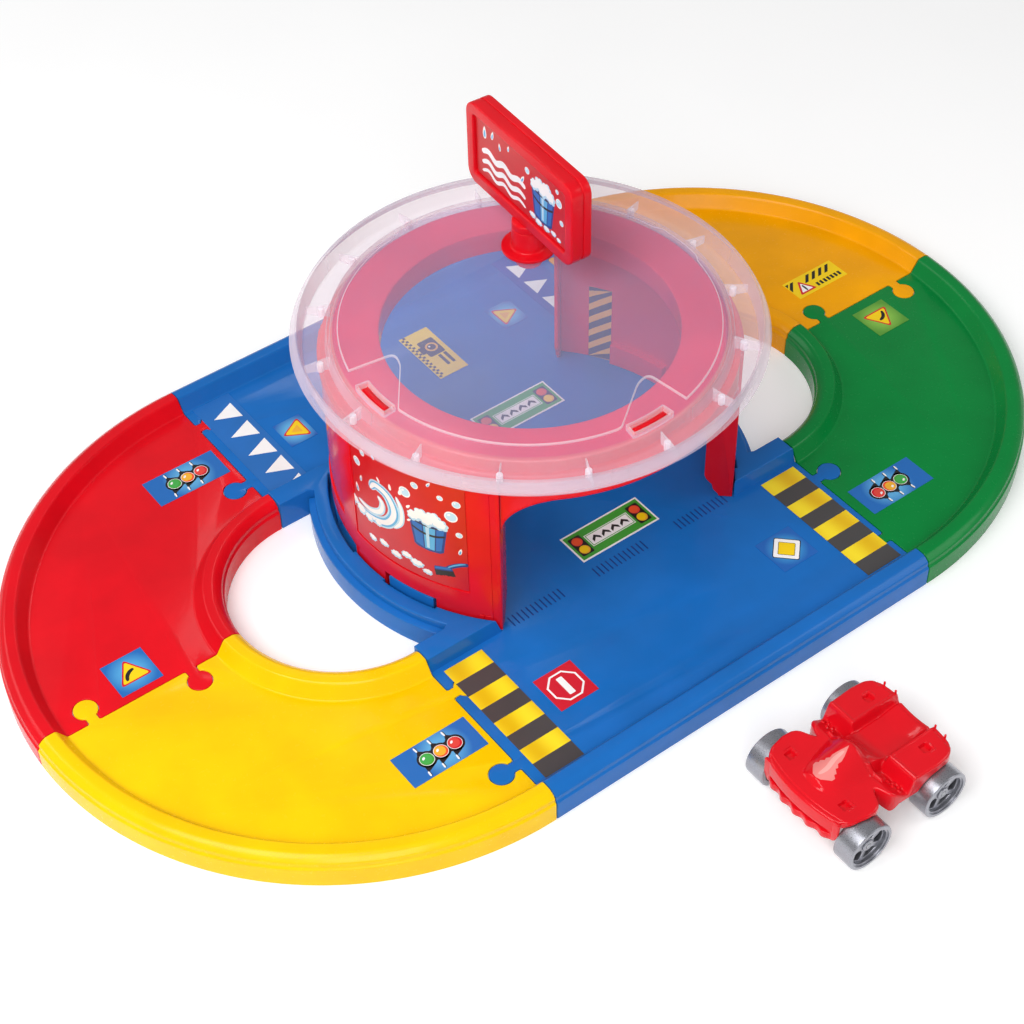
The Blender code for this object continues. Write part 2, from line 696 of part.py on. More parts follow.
def wall_back(middle, span):
    """Thicker inside of the wall behind a clip's notch."""
    spare = math.degrees(FIN_THICKNESS / WALL_INNER_RADIUS)
    low = NOTCH_RADIUS - NOTCH_BACK
    high = WALL_INNER_RADIUS + WALL_THICKNESS / 2
    profile = rectangle(low, high, WALL_FOOT + 2 * FIN_TRIM, NOTCH_TOP + NOTCH_BACK)
    return sector(profile, middle + span[0] - spare, middle + span[1] + spare, CLIP_STEPS)


def wall_notch(middle, span):
    profile = rectangle(NOTCH_RADIUS, WALL_OUTER_RADIUS + OVERRUN, WALL_FOOT - OVERRUN, NOTCH_TOP)
    return sector(profile, middle + span[0], middle + span[1], CLIP_STEPS)


def make_wall(name, side, material):
    middle = 90 - 90 * side
    panel = rectangle(WALL_INNER_RADIUS, WALL_OUTER_RADIUS, WALL_FOOT + FIN_TRIM, WALL_TOP)
    wall = place(name, sector(panel, middle - WALL_HALF_ANGLE, middle + WALL_HALF_ANGLE, WALL_STEPS), material)
    add(wall, "first_fin", wall_fin(middle - WALL_HALF_ANGLE))
    add(wall, "second_fin", wall_fin(middle + WALL_HALF_ANGLE))
    add(wall, "backs", *[wall_back(middle, span) for span in CLIP_SLOTS])
    cut(wall, "notches", *[wall_notch(middle, span) for span in CLIP_SLOTS])
    low = WALL_OUTER_RADIUS - PICTURE_RECESS
    field = rectangle(low, WALL_OUTER_RADIUS + OVERRUN, PICTURE_BOTTOM, PICTURE_TOP)
    cut(wall, "picture_field", sector(field, middle - PICTURE_HALF_ANGLE, middle + PICTURE_HALF_ANGLE, WALL_STEPS))


def arch_band(middle):
    """Curved band over a road opening, its lower edge rounded down to the walls at both ends."""
    outer = RING_OUTER_RADIUS - ARCH_INSET
    inner = outer - ARCH_THICKNESS
    half = 90 - WALL_HALF_ANGLE - math.degrees((FIN_THICKNESS / 2 + FIN_SIDE_GAP) / inner)
    fillet_angle = math.degrees(ARCH_FILLET_RUN / outer)
    top = RING_BOTTOM + RING_THICKNESS / 2
    rings = []
    for i in range(ARCH_STEPS + 1):
        share = math.sin(math.pi / 2 * (2 * i / ARCH_STEPS - 1))
        angle = half * share
        into = max(0.0, 1 - (half - abs(angle)) / fillet_angle)
        low = ARCH_BOTTOM - ARCH_FILLET * (1 - math.sqrt(max(0.0, 1 - into * into)))
        profile = rectangle(inner, outer, low, top)
        rings.append([(*polar(middle + angle, r), z) for r, z in profile])
    return ring_solid(rings)


def roof_tab(angle):
    profile = rectangle(
        TAB_INNER_RADIUS,
        TAB_INNER_RADIUS + TAB_THICKNESS,
        RING_BOTTOM + RING_THICKNESS / 2,
        DECK_TOP - TAB_TOP_DROP,
    )
    return sector(profile, angle - TAB_HALF_ANGLE, angle + TAB_HALF_ANGLE, CLIP_STEPS // 2)


def make_arch_ring(material):
    lip = RING_HOLE_RADIUS + RING_LIP_WIDTH
    profile = [
        (RING_HOLE_RADIUS, RING_BOTTOM - RING_LIP_DROP),
        (lip, RING_BOTTOM - RING_LIP_DROP),
        (lip, RING_BOTTOM),
        (RING_OUTER_RADIUS, RING_BOTTOM),
        (RING_OUTER_RADIUS, RING_TOP),
        (RING_HOLE_RADIUS, RING_TOP),
    ]
    ring = place("wash_arch_ring", turned(profile, RING_STEPS), material)
    add(ring, "arches", arch_band(90), arch_band(270))
    add(ring, "roof_tabs", *[roof_tab(angle) for angle in (0, 90, 180, 270)])


# Roof tray


def tray_profile():
    gutter_top = TRAY_SEAT + TRAY_WALL
    crest_out = RIM_CREST_RADIUS + RIM_CREST_WIDTH
    return [
        (0.0, DECK_TOP),
        (DECK_RADIUS - DECK_EDGE, DECK_TOP),
        (DECK_RADIUS, DECK_TOP - DECK_EDGE),
        (GUTTER_INNER_RADIUS, gutter_top),
        (GUTTER_OUTER_RADIUS, gutter_top),
        (RIM_CREST_RADIUS - DECK_EDGE, RIM_TOP - DECK_EDGE),
        (RIM_CREST_RADIUS, RIM_TOP),
        (crest_out, RIM_TOP),
        (LIP_KNEE_RADIUS, LIP_KNEE_TOP),
        (LIP_RADIUS, LIP_BOTTOM),
        (LIP_RADIUS - TRAY_WALL, LIP_BOTTOM),
        (LIP_KNEE_RADIUS - TRAY_WALL, LIP_KNEE_TOP - TRAY_WALL / 2),
        (crest_out - DECK_EDGE / 2, RIM_TOP - TRAY_WALL),
        (GUTTER_OUTER_RADIUS + TRAY_WALL / 2, TRAY_SEAT),
        (GUTTER_INNER_RADIUS - TRAY_WALL, TRAY_SEAT),
        (DECK_RADIUS - TRAY_WALL, DECK_BOTTOM),
        (0.0, DECK_BOTTOM),
    ]


def gutter_rib(angle):
    """Web across the gutter, with a round knob in it."""
    foot = TRAY_SEAT + TRAY_WALL / 2
    profile = [
        (DECK_RADIUS - DECK_EDGE, foot),
        (GUTTER_OUTER_RADIUS + DECK_EDGE, foot),
        (RIM_CREST_RADIUS - TRAY_WALL, TRAY_RIB_OUTER_TOP),
        (DECK_RADIUS - DECK_EDGE, TRAY_RIB_INNER_TOP),
    ]
    return plate_on_ray(profile, angle, TRAY_RIB_THICKNESS)


def rib_knob(angle):
    x, y = polar(angle, GUTTER_INNER_RADIUS + RIB_KNOB_INSET)
    return prism(circle(RIB_KNOB_RADIUS, RIB_KNOB_STEPS, x, y), TRAY_SEAT + TRAY_WALL / 2, TRAY_RIB_OUTER_TOP)


def round_corner(before, corner, after, radius, steps=3):
    """Points of a rounded corner between two straight runs."""
    corner = Vector(corner)
    back = (Vector(before) - corner).normalized()
    ahead = (Vector(after) - corner).normalized()
    start = corner + back * radius
    end = corner + ahead * radius
    points = []
    for i in range(steps + 1):
        t = i / steps
        points.append(tuple(start * (1 - t) ** 2 + corner * (2 * t * (1 - t)) + end * t**2))
    return points


def plateau_outline():
    """Low plateau of the deck, with a notch drawn in round each of the two front slots."""
    turn = 2 * PLATEAU_MIRROR_ANGLE
    outer_end, notch_first, notch_last, front_start = PLATEAU_NOTCH_ANGLES
    notch = [
        polar(outer_end, PLATEAU_RADIUS),
        polar(notch_first, PLATEAU_NOTCH_RADIUS),
        polar(notch_last, PLATEAU_NOTCH_RADIUS),
        polar(front_start, PLATEAU_FRONT_RADIUS),
    ]
    mirrored = [polar(turn - a, r) for a, r in (
        (front_start, PLATEAU_FRONT_RADIUS),
        (notch_last, PLATEAU_NOTCH_RADIUS),
        (notch_first, PLATEAU_NOTCH_RADIUS),
        (outer_end, PLATEAU_RADIUS),
    )]
    outline = arc(PLATEAU_RADIUS, turn - outer_end - 360, outer_end, PLATEAU_STEPS)
    outline += round_corner(notch[0], notch[1], notch[2], PLATEAU_ROUND)
    outline += round_corner(notch[1], notch[2], notch[3], PLATEAU_ROUND)
    outline += arc(PLATEAU_FRONT_RADIUS, front_start, turn - front_start, PLATEAU_STEPS // 4)
    outline += round_corner(mirrored[0], mirrored[1], mirrored[2], PLATEAU_ROUND)
    outline += round_corner(mirrored[1], mirrored[2], mirrored[3], PLATEAU_ROUND)
    return outline


def slot_shape(angle, spare, bottom, top):
    """Arc-shaped slot over a tab, or the collar round it."""
    half = SLOT_HALF_ANGLE + math.degrees(spare / SLOT_INNER_RADIUS)
    profile = rectangle(SLOT_INNER_RADIUS - spare, SLOT_OUTER_RADIUS + spare, bottom, top)
    return sector(profile, angle - half, angle + half, CLIP_STEPS // 2)


def make_roof(material):
    roof = place("roof_tray", turned(tray_profile(), TRAY_STEPS), material)
    roof_angles = (0, 90, 180, 270)
    inside = DECK_BOTTOM + TRAY_WALL / 2
    add(roof, "plateau", prism(plateau_outline(), inside, PLATEAU_TOP))
    add(roof, "collars", *[slot_shape(a, SLOT_COLLAR, DECK_BOTTOM - SLOT_COLLAR_DROP, inside) for a in roof_angles])
    low = DECK_BOTTOM - SLOT_COLLAR_DROP - OVERRUN
    cut(roof, "slots", *[slot_shape(a, 0.0, low, PLATEAU_TOP + OVERRUN) for a in roof_angles])
    rib_angles = [360 * i / RIB_COUNT for i in range(RIB_COUNT)]
    add(roof, "ribs", *[gutter_rib(angle) for angle in rib_angles])
    add(roof, "rib_knobs", *[rib_knob(angle) for angle in rib_angles])
    hole = circle(SOCKET_PLUG_RADIUS + TURN_CLEARANCE, SOCKET_STEPS, SIGN_X, SIGN_Y)
    cut(roof, "sign_hole", prism(hole, DECK_BOTTOM - OVERRUN, PLATEAU_TOP + OVERRUN))


# Sign


def make_socket(material):
    bore = STEM_RADIUS + TURN_CLEARANCE
    profile = [
        (bore, SOCKET_SEAT - SOCKET_PLUG_DEPTH),
        (SOCKET_PLUG_RADIUS, SOCKET_SEAT - SOCKET_PLUG_DEPTH),
        (SOCKET_PLUG_RADIUS, SOCKET_SEAT),
        (SOCKET_FLANGE_RADIUS, SOCKET_SEAT),
        (SOCKET_FLANGE_RADIUS, SOCKET_SEAT + SOCKET_FLANGE - BOARD_EDGE),
        (SOCKET_FLANGE_RADIUS - BOARD_EDGE, SOCKET_SEAT + SOCKET_FLANGE),
        (SOCKET_TUBE_RADIUS, SOCKET_SEAT + SOCKET_FLANGE),
        (SOCKET_TUBE_RADIUS, SOCKET_TOP),
        (bore, SOCKET_TOP),
    ]
    socket = place("sign_socket", turned(profile, SOCKET_STEPS), material)
    socket.location = (SIGN_X, SIGN_Y, 0.0)


def sign_axis():
    """Empty on the stem's axis; its X runs along the board and its -Y is the board's front."""
    empty = bpy.data.objects.new("sign_axis", None)
    empty.location = (SIGN_X, SIGN_Y, 0.0)
    empty.rotation_euler = (0.0, 0.0, math.radians(SIGN_TURN))
    bpy.context.scene.collection.objects.link(empty)
    return empty


def board_layer(inset, depth):
    """Rounded outline of the board, upright, at a depth behind its front."""
    corner = max(BOARD_CORNER - inset, BOARD_EDGE)
    outline = rounded_rectangle(BOARD_LENGTH - 2 * inset, BOARD_HEIGHT - 2 * inset, corner, BOARD_CORNER_STEPS)
    middle = BOARD_BOTTOM + BOARD_HEIGHT / 2
    return [(x, depth - BOARD_DEPTH / 2, middle + z) for x, z in outline]


def on_axis(item, empty):
    item.parent = empty
    for modifier in item.modifiers:
        modifier.object.parent = empty


def make_sign_frame(empty, material):
    layers = [board_layer(BOARD_EDGE, 0.0), board_layer(0.0, BOARD_EDGE), board_layer(0.0, FRAME_DEPTH)]
    frame = place("sign_frame", ring_solid(layers), material)
    face_back = BOARD_RECESS + SHELL_WALL
    cut(frame, "face", ring_solid([board_layer(BOARD_BORDER, -OVERRUN), board_layer(BOARD_BORDER, BOARD_RECESS)]))
    hollow = [board_layer(SHELL_WALL, face_back), board_layer(SHELL_WALL, FRAME_DEPTH + OVERRUN)]
    cut(frame, "inside", ring_solid(hollow))
    front = -BOARD_DEPTH / 2
    low = BOARD_BOTTOM - 2 * SEAT_GAP
    block = box(
        -STEM_BLOCK_HALF,
        STEM_BLOCK_HALF,
        front + BOARD_EDGE,
        front + FRAME_DEPTH - BOARD_EDGE,
        low,
        BOARD_BOTTOM + SHELL_WALL + BOARD_EDGE,
    )
    add(frame, "stem_block", block)
    collar_low = SOCKET_TOP + SEAT_GAP
    profile = [
        (0.0, SOCKET_TOP - STEM_DEPTH),
        (STEM_RADIUS, SOCKET_TOP - STEM_DEPTH),
        (STEM_RADIUS, collar_low),
        (SOCKET_TUBE_RADIUS, collar_low),
        (SOCKET_TUBE_RADIUS, collar_low + STEM_COLLAR_HEIGHT),
        (0.0, collar_low + STEM_COLLAR_HEIGHT),
    ]
    add(frame, "stem", turned(profile, SOCKET_STEPS))
    on_axis(frame, empty)


def make_sign_back(empty, material):
    start = FRAME_DEPTH + SEAT_GAP
    layers = [
        board_layer(GROOVE_DEPTH, start),
        board_layer(GROOVE_DEPTH, start + GROOVE_WIDTH),
        board_layer(0.0, start + GROOVE_WIDTH + BOARD_EDGE),
        board_layer(0.0, BOARD_DEPTH - BOARD_EDGE),
        board_layer(BOARD_EDGE, BOARD_DEPTH),
    ]
    cover = place("sign_back_cover", ring_solid(layers), material)
    inset = SHELL_WALL + GROOVE_DEPTH
    face_front = BOARD_DEPTH - BOARD_RECESS - SHELL_WALL
    cut(cover, "inside", ring_solid([board_layer(inset, start - OVERRUN), board_layer(inset, face_front)]))
    recess = BOARD_DEPTH - BOARD_RECESS
    cut(cover, "face", ring_solid([board_layer(BOARD_BORDER, recess), board_layer(BOARD_BORDER, BOARD_DEPTH + OVERRUN)]))
    on_axis(cover, empty)


def make_sign_labels(empty):
    inset = BOARD_BORDER + LABEL_MARGIN
    front_outer = BOARD_RECESS - SEAT_GAP - LABEL_THICKNESS
    back_outer = BOARD_DEPTH - front_outer
    for name, near, far in (
        ("sign_label_front", front_outer, front_outer + LABEL_THICKNESS),
        ("sign_label_back", back_outer - LABEL_THICKNESS, back_outer),
    ):
        label = ring_solid([board_layer(inset, near), board_layer(inset, far)])
        on_axis(place(name, label, plastic(f"{name}_print", RED, 0.35)), empty)


# Labels


def flat_label(name, x, y, size_x, size_y, hex_colour):
    low = FLOOR_TOP + SEAT_GAP
    half_x = size_x / 2
    half_y = size_y / 2
    sheet = box(x - half_x, x + half_x, y - half_y, y + half_y, low, low + LABEL_THICKNESS)
    place(name, sheet, plastic(f"{name}_print", hex_colour, 0.35))


# Middle of each label on the base: share of the lane's half length along X, then share of the lane's
# width from the lane's middle along Y. The last value is the lane: -1 in front, 1 behind.
BASE_LABEL_SHARES = {
    "hazard_strip_front_left": (-0.857, -0.006, -1),
    "hazard_strip_front_right": (0.873, 0.0, -1),
    "triangle_strip_back_left": (-0.862, 0.0, 1),
    "triangle_strip_back_right": (0.857, 0.0, 1),
    "octagon_label": (-0.605, -0.038, -1),
    "diamond_label": (0.608, -0.020, -1),
    "way_in_label": (0.083, 0.782, -1),
    "way_out_label": (0.226, -0.836, 1),
    "camera_label": (0.150, -0.027, 1),
    "triangle_sign_back_left": (-0.656, -0.091, 1),
    "triangle_sign_back_right": (0.590, -0.014, 1),
}

# Middle of each label on a ring piece: shares of the outer radius from the ring's own centre, and its side.
TRACK_LABEL_SHARES = {
    "light_label_back_left": (-0.142, 0.659, -1),
    "light_label_front_left": (-0.141, -0.665, -1),
    "light_label_front_right": (0.156, -0.681, 1),
    "bend_label_back_left": (-0.659, 0.090, -1),
    "bend_label_front_right": (0.672, -0.104, 1),
    "works_label_back_right": (0.635, 0.171, 1),
}


def base_label_size(name):
    if "strip" in name:
        return STRIP_WIDTH, STRIP_LENGTH
    if "way" in name:
        return BAR_LABEL_LENGTH, BAR_LABEL_WIDTH
    if "camera" in name:
        return CAMERA_LABEL_WIDTH, CAMERA_LABEL_LENGTH
    if "triangle_sign" in name:
        return TRIANGLE_SIGN_WIDTH, TRIANGLE_SIGN_LENGTH
    return SQUARE_LABEL, SQUARE_LABEL


def track_label_size(name):
    if "light" in name:
        return LIGHT_LABEL_LENGTH, LIGHT_LABEL_WIDTH
    if "works" in name:
        return WORKS_LABEL_LENGTH, WORKS_LABEL_WIDTH
    return SQUARE_LABEL, SQUARE_LABEL


def label_colour(name):
    if any(word in name for word in ("hazard", "camera", "works")):
        return YELLOW
    if "octagon" in name:
        return RED
    if "way" in name or name == "bend_label_front_right":
        return LABEL_GREEN
    return LABEL_BLUE


def make_floor_labels():
    for name, (share_x, share_y, lane) in BASE_LABEL_SHARES.items():
        x = share_x * LANE_HALF_LENGTH
        y = lane * LANE_MIDDLE + share_y * LANE_WIDTH
        flat_label(name, x, y, *base_label_size(name), label_colour(name))
    for name, (share_x, share_y, side) in TRACK_LABEL_SHARES.items():
        x = side * LANE_HALF_LENGTH + share_x * TRACK_OUTER_RADIUS
        y = share_y * TRACK_OUTER_RADIUS
        flat_label(name, x, y, *track_label_size(name), label_colour(name))


def make_wall_labels():
    low = WALL_OUTER_RADIUS - PICTURE_RECESS + SEAT_GAP
    margin = math.degrees(LABEL_MARGIN / WALL_OUTER_RADIUS)
    half = PICTURE_HALF_ANGLE - margin
    sheet = rectangle(low, low + LABEL_THICKNESS, PICTURE_BOTTOM + LABEL_MARGIN, PICTURE_TOP - LABEL_MARGIN)
    for name, middle in (("wall_picture_left", 180), ("wall_picture_right", 0)):
        place(name, sector(sheet, middle - half, middle + half, WALL_STEPS), plastic(f"{name}_print", RED, 0.35))
    high = WALL_INNER_RADIUS - SEAT_GAP
    top = STRIPE_LABEL_BOTTOM + STRIPE_LABEL_HEIGHT
    strip = rectangle(high - LABEL_THICKNESS, high, STRIPE_LABEL_BOTTOM, top)
    start = WALL_HALF_ANGLE - math.degrees(FIN_THICKNESS / WALL_INNER_RADIUS)
    span = math.degrees(STRIPE_LABEL_WIDTH / WALL_INNER_RADIUS)
    mesh = sector(strip, start - span, start, CLIP_STEPS)
    place("stripe_label_right_wall", mesh, plastic("stripe_label_print", YELLOW, 0.35))


# Toy quad. Outlines run from the front (-X), as shares of the body's length and half width.
BODY_OUTLINE_SHARES = (
    (0.00, 0.00), (0.012, 0.52), (0.04, 0.88), (0.10, 1.00), (0.27, 1.00), (0.305, 0.86), (0.345, 0.74),
    (0.385, 0.80), (0.41, 1.02), (0.43, 1.10), (0.52, 0.98), (0.60, 0.90), (0.68, 0.98), (0.93, 1.00),
    (0.985, 0.90), (1.00, 0.76), (1.00, 0.00),
)
SEAT_OUTLINE_SHARES = ((0.53, 0.28), (0.60, 0.42), (0.74, 0.48), (0.97, 0.48))
HOOD_SHARES = (0.16, 0.56)
HOOD_CREST_SHARES = (0.42, 0.53)
BAR_PLACE_SHARE = 0.49
REAR_DECK_SHARES = (0.60, 0.66)
POCKET_SHARES = ((0.20, 0.66), (0.87, 0.72))


def body_x(share):
    return -BODY_FRONT + share * (BODY_FRONT + BODY_REAR)


def mirrored_outline(half):
    """Closes a half outline, given on the +Y side from front to rear, with its mirror image."""
    left = [(x, -y) for x, y in reversed(half) if y > 0]
    return [(x, y) for x, y in half] + left


def body_outline(inset):
    points = []
    length = BODY_FRONT + BODY_REAR
    shrink_x = (length - 2 * inset) / length
    shrink_y = (BODY_HALF_WIDTH - inset) / BODY_HALF_WIDTH
    middle = body_x(0.5)
    for along, across in BODY_OUTLINE_SHARES:
        x = middle + (body_x(along) - middle) * shrink_x
        points.append((x, across * BODY_HALF_WIDTH * shrink_y))
    return mirrored_outline(points)


def rear_deck():
    start, full = (body_x(share) for share in REAR_DECK_SHARES)
    end = BODY_REAR - BODY_SKIN
    half = BODY_HALF_WIDTH - BODY_ROUND
    low = BODY_FRONT_DECK - BODY_SKIN
    base = [(start, -half), (end, -half), (end, half), (start, half)]
    narrow = half - BODY_ROUND
    top = [(full, -narrow), (end - BODY_ROUND, -narrow), (end - BODY_ROUND, narrow), (full, narrow)]
    return loft([(base, low), (base, BODY_FRONT_DECK), (top, BODY_REAR_DECK)])


def hood():
    start, end = (body_x(share) for share in HOOD_SHARES)
    crest_start, crest_end = (body_x(share) for share in HOOD_CREST_SHARES)
    wide = HOOD_HALF_WIDTH
    narrow = HOOD_CREST_HALF_WIDTH
    low = BODY_FRONT_DECK - BODY_SKIN
    base = [(start, -narrow), (end, -wide), (end, wide), (start, narrow)]
    top = [(crest_start, -narrow), (crest_end, -narrow), (crest_end, narrow), (crest_start, narrow)]
    return loft([(base, low), (base, BODY_FRONT_DECK - BODY_SKIN / 2), (top, HOOD_TOP)])


def handlebar():
    x = body_x(BAR_PLACE_SHARE)
    half = BAR_WIDTH / 2
    top = HOOD_TOP - BODY_SKIN
    return box(x - half, x + half, -BAR_HALF_LENGTH, BAR_HALF_LENGTH, top - BAR_HEIGHT, top)


def seat_cut():
    points = [(body_x(along), across * BODY_HALF_WIDTH) for along, across in SEAT_OUTLINE_SHARES]
    outline = points + [(x, -y) for x, y in reversed(points)]
    return prism(outline, SEAT_FLOOR, HOOD_TOP)


def pockets():
    cutters = []
    for (along, across), deck in zip(POCKET_SHARES, (BODY_FRONT_DECK, BODY_REAR_DECK)):
        for side in (-1, 1):
            x = body_x(along)
            y = side * across * BODY_HALF_WIDTH
            half = POCKET / 2
            cutters.append(box(x - half, x + half, y - half, y + half, deck - POCKET_DEPTH, deck + OVERRUN))
    return cutters


def car_empty(name, x, z):
    empty = bpy.data.objects.new(name, None)
    empty.location = (CAR_X + x, CAR_Y, z)
    bpy.context.scene.collection.objects.link(empty)
    return empty


def cylinder_across(x, radius, steps, near, far):
    """Cylinder round the axle line at x, from y = near to y = far."""
    outline = circle(radius, steps)
    return ring_solid([[(x + dx, y, AXLE_HEIGHT + dz) for dx, dz in outline] for y in (near, far)])


def wheel_wells():
    radius = WHEEL_RADIUS + WHEEL_WELL_CLEARANCE
    near = WHEEL_INNER_FACE - WHEEL_WELL_CLEARANCE
    far = CAR_TRACK_WIDTH / 2
    places = [(end * CAR_WHEELBASE / 2, side) for end in (-1, 1) for side in (-1, 1)]
    return [cylinder_across(x, radius, WHEEL_WELL_STEPS, side * near, side * far) for x, side in places]


def make_car_body(empty, material):
    layers = [
        (body_outline(0.0), BODY_UNDER - BODY_SKIN),
        (body_outline(0.0), BODY_FRONT_DECK - BODY_ROUND),
        (body_outline(BODY_ROUND / 2), BODY_FRONT_DECK),
    ]
    body = place("car_body", loft(layers), material)
    inside = body_outline(BODY_SKIN)
    add(body, "rear_deck", rear_deck())
    add(body, "hood", hood())
    add(body, "handlebar", handlebar())
    cut(body, "seat", seat_cut())
    cut(body, "pockets", *pockets())
    roof = SEAT_FLOOR - BODY_SKIN
    cut(body, "inside", prism(inside, BODY_UNDER - BODY_SKIN - OVERRUN, roof))
    cut(body, "wheel_wells", *wheel_wells())
    on_axis(body, empty)


def axle_block(x):
    half = BEARING_LENGTH / 2
    low = AXLE_HEIGHT - BEARING_DROP
    high = CHASSIS_BOTTOM + BODY_SKIN
    side = CHASSIS_HALF_WIDTH - BODY_SKIN / 2
    return box(x - half, x + half, -side, side, low, high)


def axle_hole(x):
    reach = CHASSIS_HALF_WIDTH + OVERRUN
    return cylinder_across(x, AXLE_RADIUS + TURN_CLEARANCE, AXLE_STEPS, -reach, reach)


def bumper(side, edge, half_length):
    """Bar across the car's end under the body; edge is its outer face."""
    inner = edge - BUMPER_THICKNESS
    low, high = sorted((side * inner, side * edge))
    return box(low, high, -half_length, half_length, BUMPER_BOTTOM, BUMPER_BOTTOM + BUMPER_HEIGHT)


def make_chassis(empty, material):
    top = SEAT_FLOOR - BODY_SKIN - SEAT_GAP
    front = BODY_FRONT - 2 * BODY_SKIN
    rear = BODY_REAR - 2 * BODY_SKIN
    half = CHASSIS_HALF_WIDTH
    chassis = place("car_chassis", box(-front, rear, -half, half, CHASSIS_BOTTOM, top), material)
    axle_x = CAR_WHEELBASE / 2
    add(chassis, "axle_blocks", axle_block(-axle_x), axle_block(axle_x))
    add(chassis, "front_bumper", bumper(-1, BODY_FRONT + SEAT_GAP, BUMPER_HALF_LENGTH))
    add(chassis, "rear_bumper", bumper(1, BODY_REAR + SEAT_GAP, CHASSIS_HALF_WIDTH + BUMPER_THICKNESS))
    cut(chassis, "axle_holes", axle_hole(-axle_x), axle_hole(axle_x))
    on_axis(chassis, empty)


def wheel_profile():
    """Half section of a wheel about its axis, as (radius, distance out from the inner face)."""
    bore = AXLE_RADIUS + SEAT_GAP
    web_in = WHEEL_WIDTH - WHEEL_DISH - WHEEL_WEB
    web_out = WHEEL_WIDTH - WHEEL_DISH
    return [
        (bore, web_out - WHEEL_HUB_LENGTH),
        (WHEEL_HUB_RADIUS, web_out - WHEEL_HUB_LENGTH),
        (WHEEL_HUB_RADIUS, web_in),
        (WHEEL_RIM_RADIUS, web_in),
        (WHEEL_RIM_RADIUS, 0.0),
        (WHEEL_RADIUS - WHEEL_CHAMFER, 0.0),
        (WHEEL_RADIUS, WHEEL_CHAMFER),
        (WHEEL_RADIUS, WHEEL_WIDTH - WHEEL_CHAMFER),
        (WHEEL_RADIUS - WHEEL_CHAMFER, WHEEL_WIDTH),
        (WHEEL_RIM_RADIUS + WHEEL_RIM_STEP, WHEEL_WIDTH),
        (WHEEL_RIM_RADIUS + WHEEL_RIM_STEP, WHEEL_WIDTH - WHEEL_RIM_STEP),
        (WHEEL_RIM_RADIUS, WHEEL_WIDTH - WHEEL_RIM_STEP),
        (WHEEL_RIM_RADIUS, web_out),
        (WHEEL_HUB_RADIUS, web_out),
        (WHEEL_HUB_RADIUS, web_out + WHEEL_RIM_STEP),
        (bore, web_out + WHEEL_RIM_STEP),
    ]


def lay_on_axle(mesh, side, inner_face):
    """Turns a piece made round +Z so that its +Z points out along side * Y."""
    turn = Matrix.Rotation(-side * math.pi / 2, 4, "X")
    shift = Matrix.Translation((0.0, side * inner_face, 0.0))
    bmesh.ops.transform(mesh, matrix=shift @ turn, verts=mesh.verts)
    return mesh


def spoke_window(index):
    """Wedge between two spokes, cut through the web."""
    pitch = 360 / WHEEL_SPOKES
    start = index * pitch
    inner = WHEEL_HUB_RADIUS + WHEEL_RIM_STEP
    outer = WHEEL_RIM_RADIUS - WHEEL_RIM_STEP / 2
    points = []
    for radius in (inner, outer):
        half = pitch / 2 - math.degrees(WHEEL_SPOKE_HALF / radius)
        ends = [polar(start - half, radius), polar(start, radius), polar(start + half, radius)]
        points += ends if radius == inner else list(reversed(ends))
    return prism(points, WHEEL_WIDTH - WHEEL_DISH - WHEEL_WEB - OVERRUN, WHEEL_WIDTH - WHEEL_DISH + OVERRUN / 2)


def make_wheel(name, empty, side, material):
    mesh = lay_on_axle(turned(wheel_profile(), WHEEL_STEPS), side, WHEEL_INNER_FACE)
    wheel = place(name, mesh, material)
    windows = [lay_on_axle(spoke_window(i), side, WHEEL_INNER_FACE) for i in range(WHEEL_SPOKES)]
    cut(wheel, "windows", *windows)
    on_axis(wheel, empty)


def make_axle(name, empty, material):
    end = CAR_TRACK_WIDTH / 2 - WHEEL_DISH + WHEEL_RIM_STEP
    rings = [[(x, y, z) for x, z in circle(AXLE_RADIUS, AXLE_STEPS)] for y in (-end, end)]
    on_axis(place(name, ring_solid(rings), material), empty)


def make_decal(empty):
    """Arrow on the hood's slope, lying on it."""
    crest = body_x(HOOD_CREST_SHARES[0])
    start = body_x(HOOD_SHARES[0])
    low = BODY_FRONT_DECK - BODY_SKIN / 2
    rise = (HOOD_TOP - low) / (crest - start)
    middle = (start + crest) / 2
    shares = ((-0.5, 0.0), (-0.1, 0.5), (-0.1, 0.2), (0.5, 0.2), (0.5, -0.2), (-0.1, -0.2), (-0.1, -0.5))
    level = math.cos(math.atan(rise))
    rings = []
    for lift in (SEAT_GAP, SEAT_GAP + LABEL_THICKNESS):
        ring = []
        for along, across in shares:
            x = middle + along * DECAL_LENGTH * level
            ring.append((x, across * DECAL_WIDTH, low + (x - start) * rise + lift / level))
        rings.append(ring)
    on_axis(place("car_decal", ring_solid(rings), plastic("car_decal_print", "F0A8A0", 0.35)), empty)


def make_car(red, silver):
    body = car_empty("car_place", 0.0, 0.0)
    make_car_body(body, red)
    make_chassis(body, red)
    make_decal(body)
    for end, side in (("front", -1), ("rear", 1)):
        axis = car_empty(f"{end}_axle_axis", side * CAR_WHEELBASE / 2, AXLE_HEIGHT)
        make_axle(f"car_{end}_axle", axis, silver)
        make_wheel(f"car_wheel_{end}_left", axis, -1, silver)
        make_wheel(f"car_wheel_{end}_right", axis, 1, silver)


